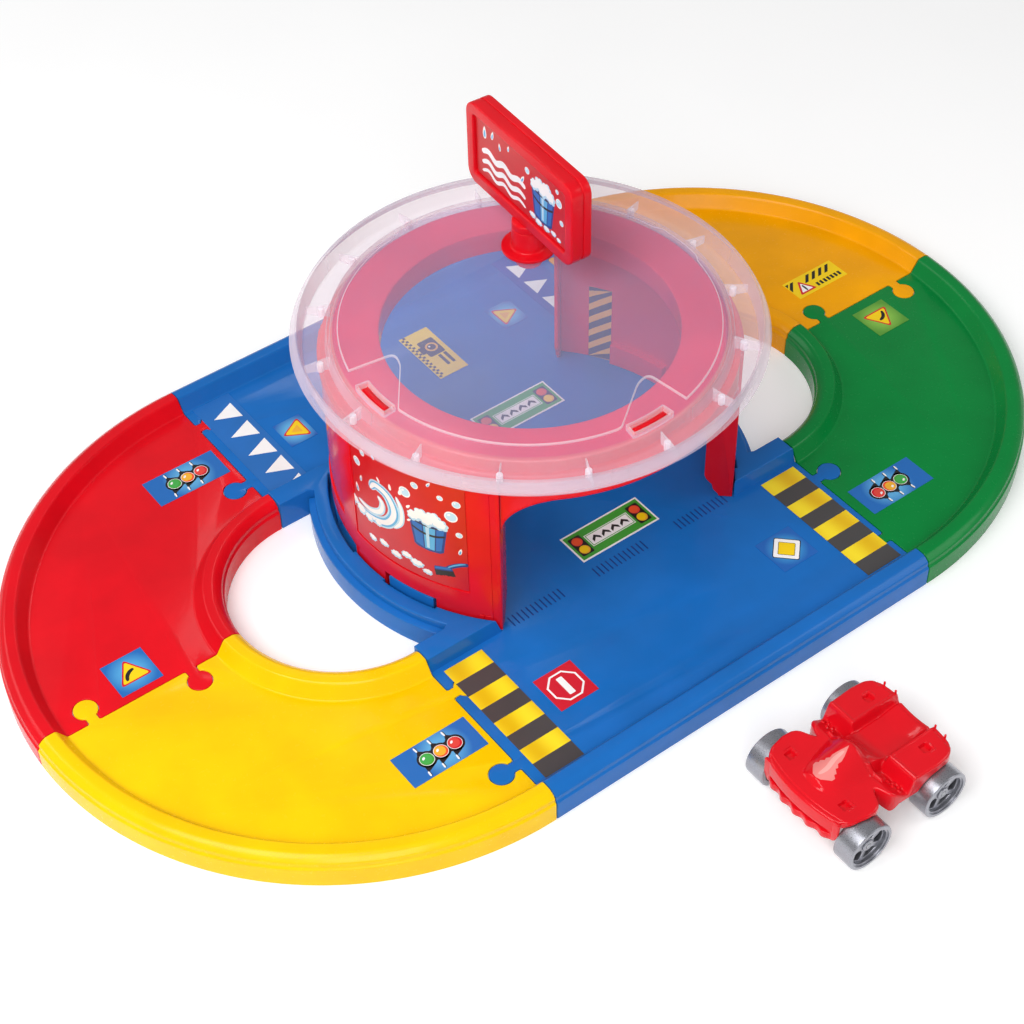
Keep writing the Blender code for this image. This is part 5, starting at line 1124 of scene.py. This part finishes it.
# Flat points scaled and turned about their origin, then moved.
def put(points, x, y, size=1.0, turn=0.0):
    a = math.radians(turn)
    cos, sin = size * math.cos(a), size * math.sin(a)
    return [(x + u * cos - v * sin, y + u * sin + v * cos) for u, v in points]


def rectangle(x, y, width, height, turn=0.0):
    return put([(sx * width / 2, sy * height / 2) for sx, sy in ((-1, -1), (1, -1), (1, 1), (-1, 1))], x, y, 1, turn)


def disc(x, y, radius, tall=None, turn=0.0, steps=28):
    tall = radius if tall is None else tall
    turns = np.arange(steps) * 2 * math.pi / steps
    return put([(radius * math.cos(t), tall * math.sin(t)) for t in turns], x, y, 1, turn)


# Cloud edge: radius (1 + depth times |sin|) gives round bulges between sharp nicks.
def cloud(x, y, width, height, bulges, turn):
    points = []
    for t in np.linspace(0, 2 * math.pi, bulges * 8, endpoint=False):
        r = 1 + 0.2 * (abs(math.sin(bulges * t / 2 + turn)) - 0.6) + 0.06 * math.sin(3 * t + 1.3 * turn)
        points.append((x + width * r * math.cos(t), y + height * r * math.sin(t)))
    return points


# Tear drop, its tip in the given direction: half width is wide (1 - s) to a power times the root of s.
def drop(x, y, length, wide, turn):
    s = np.linspace(0, 1, 13)
    half = wide * np.sqrt(s) * (1 - s) ** 0.8 * 1.75
    points = [(length * (t - 0.35), h) for t, h in zip(s, half)]
    points += [(u, -v) for u, v in points[-2:0:-1]]
    return put(points, x, y, 1, turn)


# Smooth row of points through a few given ones, some steps from each to the next.
def curved(points, steps=8):
    p = np.asarray(points, float)
    p = np.vstack([2 * p[0] - p[1], p, 2 * p[-1] - p[-2]])
    out = []
    for i in range(1, len(p) - 2):
        a, b, c, d = p[i - 1:i + 3]
        for s in range(steps):
            t = s / steps
            bend, twist = 2 * a - 5 * b + 4 * c - d, 3 * b - a - 3 * c + d
            out.append(0.5 * (2 * b + (c - a) * t + bend * t * t + twist * t ** 3))
    return np.array(out + [p[-2]])


# Brush stroke along a curve, half width wide times the root of 4 s (1 - s), raised to a power for slim ends.
def stroke(points, wide, power, lean=1.0):
    path = curved(points)
    s = np.linspace(0, 1, len(path)) ** lean
    half = wide * np.sqrt(np.clip(4 * s * (1 - s), 0, 1)) ** power
    along = np.gradient(path, axis=0)
    along /= np.linalg.norm(along, axis=1, keepdims=True)
    normal = np.column_stack([-along[:, 1], along[:, 0]]) * half[:, None]
    return path - normal, path + normal


# Closed ink shape between two heights. An outline is filled by rings round its middle, a stroke by rows
# across; both are cut fine where the film is bent.
def inkPatch(shape, low, high, step):
    if isinstance(shape, tuple):
        left, right = shape
        count = max(1, math.ceil(np.linalg.norm(right - left, axis=1).max() / step))
        t = np.linspace(0, 1, count + 1)[None, :, None]
        top = left[:, None] * (1 - t) + right[:, None] * t
        rows = [np.vstack([raised(row, high), raised(row[::-1], low)]) for row in top]
        return [gridPatch(rows, closeV=True)]
    outline = wound(shape)
    middle = outline.mean(axis=0)
    if step < 50:
        fine = []
        for a, b in zip(outline, np.roll(outline, -1, 0)):
            count = max(1, math.ceil(np.linalg.norm(b - a) / step))
            fine += [a + (b - a) * k / count for k in range(count)]
        outline = np.array(fine)
        count = max(1, math.ceil(np.linalg.norm(outline - middle, axis=1).max() / step))
        shares = np.linspace(0, 1, count + 1)
        rows = [raised(middle + (outline - middle) * s, high) for s in shares]
        rows += [raised(middle + (outline - middle) * s, low) for s in shares[::-1]]
        return [gridPatch(rows, closeU=True, closeV=True)]
    return [gridPatch([raised(outline, low), raised(outline, high)], closeV=True), capPatch(raised(outline, low)),
            capPatch(raised(outline, high))]


# A film and its shapes as one piece; place maps (across, up, height) to the part's millimetres.
def makeLabel(node, body, film, shapes, place, thick=0.22, step=100.0):
    filmInk, outline = film
    used, patches = [filmInk], inkPatch(outline, 0, thick, step)
    kinds = [0] * len(patches)
    for ink, level, shape in shapes:
        if ink not in used:
            used.append(ink)
        new = inkPatch(shape, thick - 0.02, thick + 0.022 * level, step)
        patches += new
        kinds += [used.index(ink)] * len(new)
    built = [(place(np.asarray(p[0], float)), p[1], kind) for p, kind in zip(patches, kinds)]
    materials = [inks[ink] if isinstance(ink, str) else ink for ink in used]
    makePiece(node + "_print", built, materials, body, node, 40, 0.001)


# Flat label on a floor, by its middle and its turn in degrees.
def onFloor(x, y, turn=0.0):
    a, z = math.radians(turn), road["top"] + 0.05

    def place(p):
        u, v, up = p.T
        across, along = x + u * math.cos(a) - v * math.sin(a), y + u * math.sin(a) + v * math.cos(a)
        return np.column_stack([across, along, z + up])
    return place


# Bent label on an upright cylinder: angle is across / radius, seen from outside or inside.
def onCylinder(radius, angle, height, side=1):
    def place(p):
        a = math.radians(angle) + side * p[:, 0] / radius
        r = radius + side * p[:, 2]
        return np.column_stack([r * np.cos(a), r * np.sin(a), height + p[:, 1]])
    return place


# Rectangular film on a floor, with its size and its middle.
def floorLabel(node, slot, film, width, height, shapes, x, y, turn=0.0):
    makeLabel(node, "playset", (film, rectangle(0, 0, width, height)), shapes, onFloor(x, y, turn))


def makeHazardStrips():
    # Painted sheen: a broad wave along X runs each yellow band's colour between a darker and a lighter yellow, a
    # metallic reflection painted into the film.
    wave = ("ShaderNodeTexWave", 1, (0, 1), {"Scale": 11.0, "Distortion": 1.2}, {"bands_direction": "X"})
    sheen = surface("yellow film with painted sheen bands", ("E9BC00", "FFE524"), wave, (900.0, 2.0), (0.30, 0.39))
    band = 107 / 8
    bands = [(sheen, 1, rectangle(0, 53.5 - band * (2 * k + 0.5), 30, band)) for k in range(4)]
    for node, x, y in (("hazard_strip_front_left", -134.55, -155.65), ("hazard_strip_front_right", 137.06, -155.0)):
        floorLabel(node, "print_yellow", "grey", 30, 107, bands, x, y)


makeHazardStrips()


# Rows of white triangles; the last one is cut off by the film's edge.
def makeTriangleStrips():
    y, edge = 155, -53.2
    for node, x, film, tip, base in (("triangle_strip_back_left", -135.33, "base", -143.4, -124.6),
                                     ("triangle_strip_back_right", 134.55, "deep blue", 142.0, 125.8)):
        tip, base = tip - x, base - x
        rows = [centre - y for centre in (190, 166.8, 143.6, 121.5, 98.5)]
        shapes = [("white", 1, [(tip, v), (base, v - 8.7), (base, v + 8.7)]) for v in rows[:-1]]
        v = rows[-1]
        share = (edge - v) / 8.7
        shapes.append(("white", 1, [(base, v + 8.7), (base, edge), (base + (tip - base) * (1 - share), edge)]))
        floorLabel(node, "print_pale", film, 30, 107, shapes, x, y)


makeTriangleStrips()


def makeSquareSigns():
    octagon = [disc(0, 0, r, steps=8, turn=22.5) for r in (12.6, 11.2)]
    shapes = [("white", 1, octagon[0]), ("red", 2, octagon[1]), ("white", 3, fillet(rectangle(0, 0, 4.6, 15.5), 0.8))]
    floorLabel("octagon_label", "print_red", "red", 30, 30, shapes, -94.99, -159.14)
    centre = (95.46, -157.18, 13.1)
    film = glowInk("printed film blue glow", "1A63B8", "3E9BD8", centre, 15)
    shapes = [(ink, level, fillet(rectangle(0, 0, size, size, 45), radius)) for level, (ink, size, radius) in
              enumerate((("black", 18.4, 1.6), ("white", 17.2, 1.3), ("black", 11.6, 0.8), ("yellow", 10.8, 0.6)), 1)]
    floorLabel("diamond_label", "print_yellow", film, 30, 30, shapes, *centre[:2])


makeSquareSigns()


# Green bar with two lamps at each end; a row of chevrons stands in its panel.
def makeWayBars():
    shapes = [("green", 1, rectangle(0, 0, 63.4, 23.9)), ("white", 2, rectangle(0, 0, 37, 11.6)),
              ("green", 3, rectangle(0, 0, 35.8, 10.4)), ("white", 4, rectangle(0, 0, 34.6, 9.2))]
    for u in (-25, 25):
        shapes.append(("black", 2, fillet(rectangle(u, 0, 9.8, 18.4), 1.2)))
        for v, lamp, shine in ((4.3, "orange", "lampRed"), (-4.3, "yellow", "amber")):
            shapes += [(shine, 3, disc(u, v, 3.9)), (lamp, 4, disc(u - 0.4, v + 0.4, 3.1))]
    chevron = [(-3.2, -2.9), (0, 0.2), (3.2, -2.9), (3.2, -0.2), (0, 2.9), (-3.2, -0.2)]
    shapes += [("black", 5, put(chevron, u, 0)) for u in (-12, -4, 4, 12)]
    for node, x, y in (("way_in_label", 13.03, -69.76), ("way_out_label", 35.48, 63.88)):
        floorLabel(node, "print_green", "white", 66, 26.5, shapes, x, y)


makeWayBars()


# Triangle by the reach of its corners, its first one in the given direction.
def pointed(r, turn, x=0.0, y=0.0):
    return put([(r * math.cos(math.radians(a)), r * math.sin(math.radians(a))) for a in (0, 120, 240)], x, y, 1, turn)


def makeWarningTriangles():
    for node, x, y, side in (("triangle_sign_back_left", -102.99, 145.08, -1),
                             ("triangle_sign_back_right", 92.63, 153.47, 1)):
        film = glowInk("printed film glow " + node, "1C5FB6", "5FB0E2", (x, y, 13.1), 15.5)
        shapes = [(ink, level, fillet(pointed(r, 90 - 90 * side, -side * 1.6), radius)) for level, (ink, r, radius) in
                  enumerate((("red", 12.4, 3.2), ("yellow", 10.3, 2.4), ("amber", 5, 1.2)), 1)]
        floorLabel(node, "print_yellow", film, 22, 26, shapes, x, y)
    bend = stroke([(-5.6, -5.3), (-4.0, -1.6), (-1.2, 0.9), (2.6, 2.2)], 1.35, 0.5)
    for node, x, y, turn, code, glow in (("bend_label_back_left", -308.57, 20.7, 0, "1C6BBB", "4FA4DC"),
                                         ("bend_label_front_right", 311.56, -23.92, 180, "5B9A34", "86C04A")):
        film = glowInk("printed film glow " + node, code, glow, (x, y, 13.1), 17)
        shapes = [("red", 1, fillet(pointed(13.4, 90, 0, -1.2), 3.0)),
                  ("yellow", 2, fillet(pointed(11.2, 90, 0, -1.2), 2.2)), ("black", 3, bend)]
        floorLabel(node, "print_yellow", film, 30, 30, shapes, x, y, turn)


makeWarningTriangles()


# Traffic light lying along the road: three lamps in black scalloped cases, with white rays.
def makeLightLabels():
    for node, x, y, near in (("light_label_back_left", -189.66, 151.57, 1),
                             ("light_label_front_left", -189.43, -152.95, 1),
                             ("light_label_front_right", 192.88, -156.63, -1)):
        film = glowInk("printed film glow " + node, "1C6BBB", "5DACDF", (x + 2.5 * near, y, 13.1), 19)
        shapes = []
        for k, (lamp, shade) in enumerate((("lampGreen", "green"), ("amber", "orange"), ("lampRed", "red"))):
            u = (k - 1) * 10.6 + 1.2
            shapes.append(("black", 1, disc(u, 0, 6.5)))
            for up in (-1, 1):
                fin = [(u - 4.6, up * 3.0), (u - 3.4 + 1.5 * up, up * 9.0), (u + 1.0, up * 6.6), (u + 4.6, up * 3.0)]
                shapes.append(("black", 1 + 0.2 * (1 + up), fin))
                base = np.array([(u - 3.4 + 1.5 * up, up * 8.0), (u - 3.7 + 1.5 * up, up * 12.2)])
                shapes += [("black", 2, stroke(base + (0.45, 0), 0.75, 0.3)), ("white", 3, stroke(base, 0.6, 0.3))]
            shapes += [("white", 3, disc(u, 0, 4.95)), (shade, 4, disc(u, 0, 4.6)), (lamp, 5, disc(u - 0.5, 0.5, 3.8)),
                       ("white", 6, disc(u - 1.5, 1.6, 1.3, 0.8, 40))]
        shapes.append(("black", 1.1, rectangle(1.2, 0, 22, 9)))
        turn = 90 - 90 * near
        floorLabel(node, "print_blue", film, 56, 27, shapes, x, y, turn)


makeLightLabels()


def makeWorksLabel():
    shapes = [("black", 1, [(u, 1.2), (u + 3.3, 1.2), (u + 9.6, 8.2), (u + 6.3, 8.2)]) for u in (-8.6, -2.0, 4.6, 11.2)]
    shapes += [("black", 1, [(-23.4, 4.6), (-20.2, 8.2), (-23.4, 8.2)]),
               ("black", 1, [(-23.4, -1.2), (-15.1, 8.2), (-18.3, 8.2), (-23.4, 2.6)]),
               ("red", 2, fillet([(-20.5, -7.6), (-4.5, -7.6), (-12.5, 6.4)], 1.6)),
               ("white", 3, fillet([(-17.8, -6.1), (-7.2, -6.1), (-12.5, 3.3)], 1.0)),
               ("black", 4, rectangle(-12.5, -1.7, 1.5, 5)), ("black", 4, disc(-12.5, -5.0, 0.8))]
    shapes += [("black", 1, rectangle(u, -5.2, 2.2, 4.2)) for u in np.arange(-1.4, 22, 3.6)]
    floorLabel("works_label_back_right", "print_yellow", "yellow", 48.5, 21, shapes, 303.05, 39.33)


def makeCameraLabel():
    shapes = [("black", 1, rectangle(-10.9 + 2.2 * (k % 2), -24.8 + 2.2 * k, 2.2, 2.2)) for k in range(24)]
    shapes += [("black", 1, fillet(rectangle(2.2, 6, 13.5, 19), 1.6)), ("black", 1, rectangle(-5.6, 6, 3.6, 8)),
               ("amber", 2, disc(2.6, 6, 4.9)), ("black", 3, disc(2.6, 6, 3.3)), ("white", 4, disc(1.4, 7.2, 0.9)),
               ("black", 1, rectangle(2.2, -11, 2.6, 13)), ("black", 1, rectangle(7, -11, 2.6, 13))]
    floorLabel("camera_label", "print_yellow", "yellow", 25, 54, shapes, 23.55, 152.06)


def makeStripeLabel():
    half, tall, stripes = 8.7, 33, []
    for v in np.arange(-1, 6) * 12.4 - tall:
        points = [(-half, v), (half, v + 13), (half, v + 19.4), (-half, v + 6.4)]
        clipped = [(u, min(tall, max(-tall, w))) for u, w in points]
        if abs(signedArea(clipped)) > 4:
            stripes.append(("black", 1, clipped))
    film = ("amber", rectangle(0, 0, 2 * half, 2 * tall))
    makeLabel("stripe_label_right_wall", "playset", film, stripes, onCylinder(136.4, 31.2, 47, -1),
              step=3.0)


makeWorksLabel()
makeCameraLabel()
makeStripeLabel()


# Pairs of clouds in pale blue and white. The white one is smaller by its shares and lies a little to a side.
def froth(places, level, bulges, tall, whiteWide, whiteTall, up, left=0.0, rise=0.0):
    shapes = []
    for u, v, r in places:
        shapes.append(("paleBlue", level + rise * u, cloud(u, v, r, r * tall, bulges, u)))
        shapes.append(("white", level + 1 + rise * u,
                       cloud(u - left, v + up, r * whiteWide, r * whiteTall, bulges, u)))
    return shapes


# Shapes scaled and moved as a whole
def placed(shapes, x, y, size):
    out = []
    for ink, level, shape in shapes:
        parts = [np.asarray(p) * size + (x, y) for p in (shape if isinstance(shape, tuple) else (shape,))]
        out.append((ink, level, tuple(parts) if isinstance(shape, tuple) else parts[0]))
    return out


# Bucket of suds about a middle: tapered pail, hoop, handle and froth.
def bucket(x, y, size):
    shapes = [("navy", 1, [(-11.5, 8), (-8.8, -11), (-6.8, -12.4), (0, -13.2), (6.8, -12.4), (8.8, -11), (11.5, 8)]),
              ("blue", 2, [(-9.9, 7), (-7.6, -10), (-3.0, -11.6), (-3.6, 7)]),
              ("sky", 2, [(-2.8, 7), (-2.2, -11.7), (3.4, -11.5), (4.6, 7)]),
              ("blue", 2, [(5.4, 7), (4.2, -11.3), (7.4, -10.2), (9.9, 7)]),
              ("paleBlue", 3, [(-1.4, 6.5), (-1.0, -10.8), (0.6, -10.8), (0.8, 6.5)]),
              ("black", 3, stroke([(-10.2, 1.6), (-5, -0.4), (0, -1.0), (5, -0.4), (10.2, 1.6)], 0.75, 0.2)),
              ("black", 4, disc(0, 8, 11.9, 3.4)), ("navy", 5, disc(0, 8.2, 10.8, 2.7))]
    places = ((-8.2, 9.2, 4.2), (7.6, 9.4, 4.6), (-3.2, 11.6, 5.4), (3.4, 12.4, 5.0), (0.2, 9.2, 4.6))
    return placed(shapes + froth(places, 6, 7, 0.86, 0.78, 0.66, 0.6, 0.5, 0.025), x, y, size)


# Scrubbing brush: dark bristle head with a pale rim and a blue handle.
def brush(x, y, size, turn):
    teeth = [(-9, 0.6)]
    for k in range(9):
        teeth += [(-9.4 + 2.09 * k, -6.5 + 0.6 * (k % 2)), (-8.4 + 2.09 * k, -4.9)]
    handle = [(2, 2), (9, 5.5), (17, 8), (25, 8.6)], [(5, 4.1), (11, 6.8), (18, 8.8), (23, 9.2)]
    shapes = [("navy", 2, stroke(put(handle[0], 0, 0, 1, turn), 2.3, 0.3)),
              ("sky", 3, stroke(put(handle[1], 0, 0, 1, turn), 0.8, 0.5)),
              ("navy", 2, fillet(put([(-9, 0), (9, 0), (8, 4.6), (-8, 4.6)], 0, 0, 1, turn), 1.4)),
              ("blue", 3, fillet(put([(-8, 1.4), (8, 1.4), (7.2, 3.9), (-7.2, 3.9)], 0, 0, 1, turn), 1.0)),
              ("black", 1, put(teeth + [(9.4, -6.3), (9, 0.6)], 0, 0, 1, turn))]
    return placed(shapes, x, y, size)


# Wave that curls over: sweeping strokes in white over pale blue and blue, with spray.
def curl(x, y, size):
    crest = [(-26, -17), (-8, -19), (9, -13), (17, 1), (12, 15), (0, 18), (-6, 11)]
    shapes = [(ink, 1 + k, stroke(crest, wide, 0.75, 1.15))
              for k, (ink, wide) in enumerate((("paleBlue", 5.6), ("sky", 4.1), ("white", 2.4)))]
    for k, (ink, wide) in enumerate((("paleBlue", 3.2), ("white", 1.7))):
        shapes.append((ink, 1.4 + k, stroke([(-22, -11), (-8, -12), (3, -6), (6, 3), (2, 9)], wide, 0.8)))
        shapes.append((ink, 1.6 + k, stroke([(16, -14), (23, -4), (24, 9), (20, 20)], wide * 0.8, 0.9)))
    spray = ((24, 26, 7, 2.0, 70), (15, 25, 6, 1.7, 95), (30, 16, 5, 1.5, 50), (4, 25, 5, 1.4, 120),
             (30, 3, 4.4, 1.3, 40))
    shapes += [("white", 2, drop(*size)) for size in spray]
    places = ((-27, -16, 5.2), (-19, -20, 5.8), (-10, -21.5, 4.6), (-31, -21, 4.0), (0, -20, 3.6))
    return placed(shapes + froth(places, 4, 8, 0.8, 0.76, 0.55, 0.8), x, y, size)


def bubbles(*places):
    shapes = []
    for x, y, r in places:
        shapes += [("white", 1, disc(x, y, r)), ("paleBlue", 2, disc(x, y, r * 0.8)),
                   ("white", 3, disc(x - r * 0.28, y + r * 0.3, r * 0.26, r * 0.18, 40))]
    return shapes


# White drops, each with a smaller blue one that lies a little lower.
def drops(lower, *places):
    shapes = []
    for x, y, length, wide, turn in places:
        shapes += [("white", 1, drop(x, y, length, wide, turn)),
                   ("sky", 2, drop(x, y - lower, length * 0.6, wide * 0.55, turn))]
    return shapes


def makePictures():
    shapes = curl(-22, -1, 0.92) + bucket(20, -3, 1.22) + brush(30, -33, 0.78, 14)
    shapes += bubbles((4, 26, 4.4), (12, 36, 2.8), (37, 19, 4.6), (41, 31, 3.0), (30, 33, 2.2), (-40, 24, 3.6),
                      (-33, 36, 2.4), (42, 4, 2.4))
    shapes += drops(0.4, (-42, -2, 8, 2.2, 100), (-37, 10, 6, 1.6, 80), (22, 41, 5, 1.4, 60), (-22, 40, 6, 1.7, 110),
                    (42, -12, 6, 1.6, 75))
    places = ((2, -33, 4.4), (10, -36, 5.2), (-7, -38, 4.6), (-18, -35, 4.2), (-29, -38, 3.8), (18, -40, 3.6))
    shapes += froth(places, 5, 8, 0.66, 0.78, 0.44, 0.8)
    start, end = wall["postHigh"] + 0.35, wall["field"] - 0.33
    radius = 138.4
    film = ("crimson", rectangle(0, 0, math.radians(end - start) * radius, 93.4))
    for node, angle in (("wall_picture_left", 180), ("wall_picture_right", 0)):
        place = onCylinder(radius, angle + (start + end) / 2, 92.5)
        makeLabel(node, "playset", film, shapes, place, step=3.2)


makePictures()


def makeSignLabels():
    shapes = bucket(26, -2.5, 1.15) + bubbles((44, 10, 3.4), (47, -4, 2.2), (8, 14, 2.6), (42, 18, 1.8))
    shapes += drops(0.3, (-42, 13, 10, 2.8, 90), (-33, 16, 7.5, 2.0, 75), (-24, 12, 6, 1.7, 100),
                    (-14, 17, 5, 1.5, 80), (2, 3, 7, 2.0, 60))
    ripple = [(-46, -1.4), (-38, 2), (-29, -1.6), (-20, 2), (-11, -1.6), (-2, 1.4), (6, -0.8)]
    for v, wide in ((-1, 2.5), (-9.5, 2.1), (-16.6, 1.5)):
        shapes.append(("white", 1, stroke(put(ripple, 0, v), wide, 0.35)))
    places = ((14, -17.6, 3.6), (21, -19.3, 3.8), (30, -19.2, 3.4), (38, -18, 3.0), (44, -19.6, 2.4))
    shapes += froth(places, 5, 8, 0.6, 0.78, 0.4, 0.6)
    middle = sign["bottom"] + sign["height"] / 2
    turn = np.array(signMatrix.to_3x3())

    def facing(depth, side):
        def place(p):
            local = np.column_stack([side * p[:, 0], sign["front"] + depth - side * p[:, 2], p[:, 1] + middle])
            return local @ turn.T + np.array(sign["place"])
        return place
    for node, depth, side in (("sign_label_front", 2.35, 1), ("sign_label_back", 13.35, -1)):
        makeLabel(node, "sign", ("crimson", boardOutline(9.4, 1.6)), shapes, facing(depth, side))


makeSignLabels()


# Arrow film on the hood: it follows the top of the body a hair above it.
carArrow = ((-35.2, 0), (-34.6, 3.2), (-32.2, 5.8), (-29.6, 8.3), (-27.4, 8.6), (-26.6, 6.6), (-25.2, 7.2),
            (-24.0, 4.6), (-22.4, 5.2), (-21.2, 3.4), (-18.6, 3.8), (-15.6, 2.8), (-9.0, 0.4))


def makeCarDecal():
    outline = [*carArrow, *((x + 0.4, -0.92 * y) for x, y in carArrow[-2:0:-1])]
    x, y, z = car["place"]

    def place(p):
        return np.column_stack([x + p[:, 0], y + p[:, 1], z + carTop(p[:, 0], p[:, 1]) + 0.04 + p[:, 2]])
    pale = ("arrowPale", 1, stroke([(-33, 0.4), (-27, -0.6), (-20, 0.5), (-13, 0)], 1.5, 0.8))
    makeLabel("car_decal", "car", ("arrow", outline), [pale], place, 0.12, 0.7)


makeCarDecal()
print("labels ready")
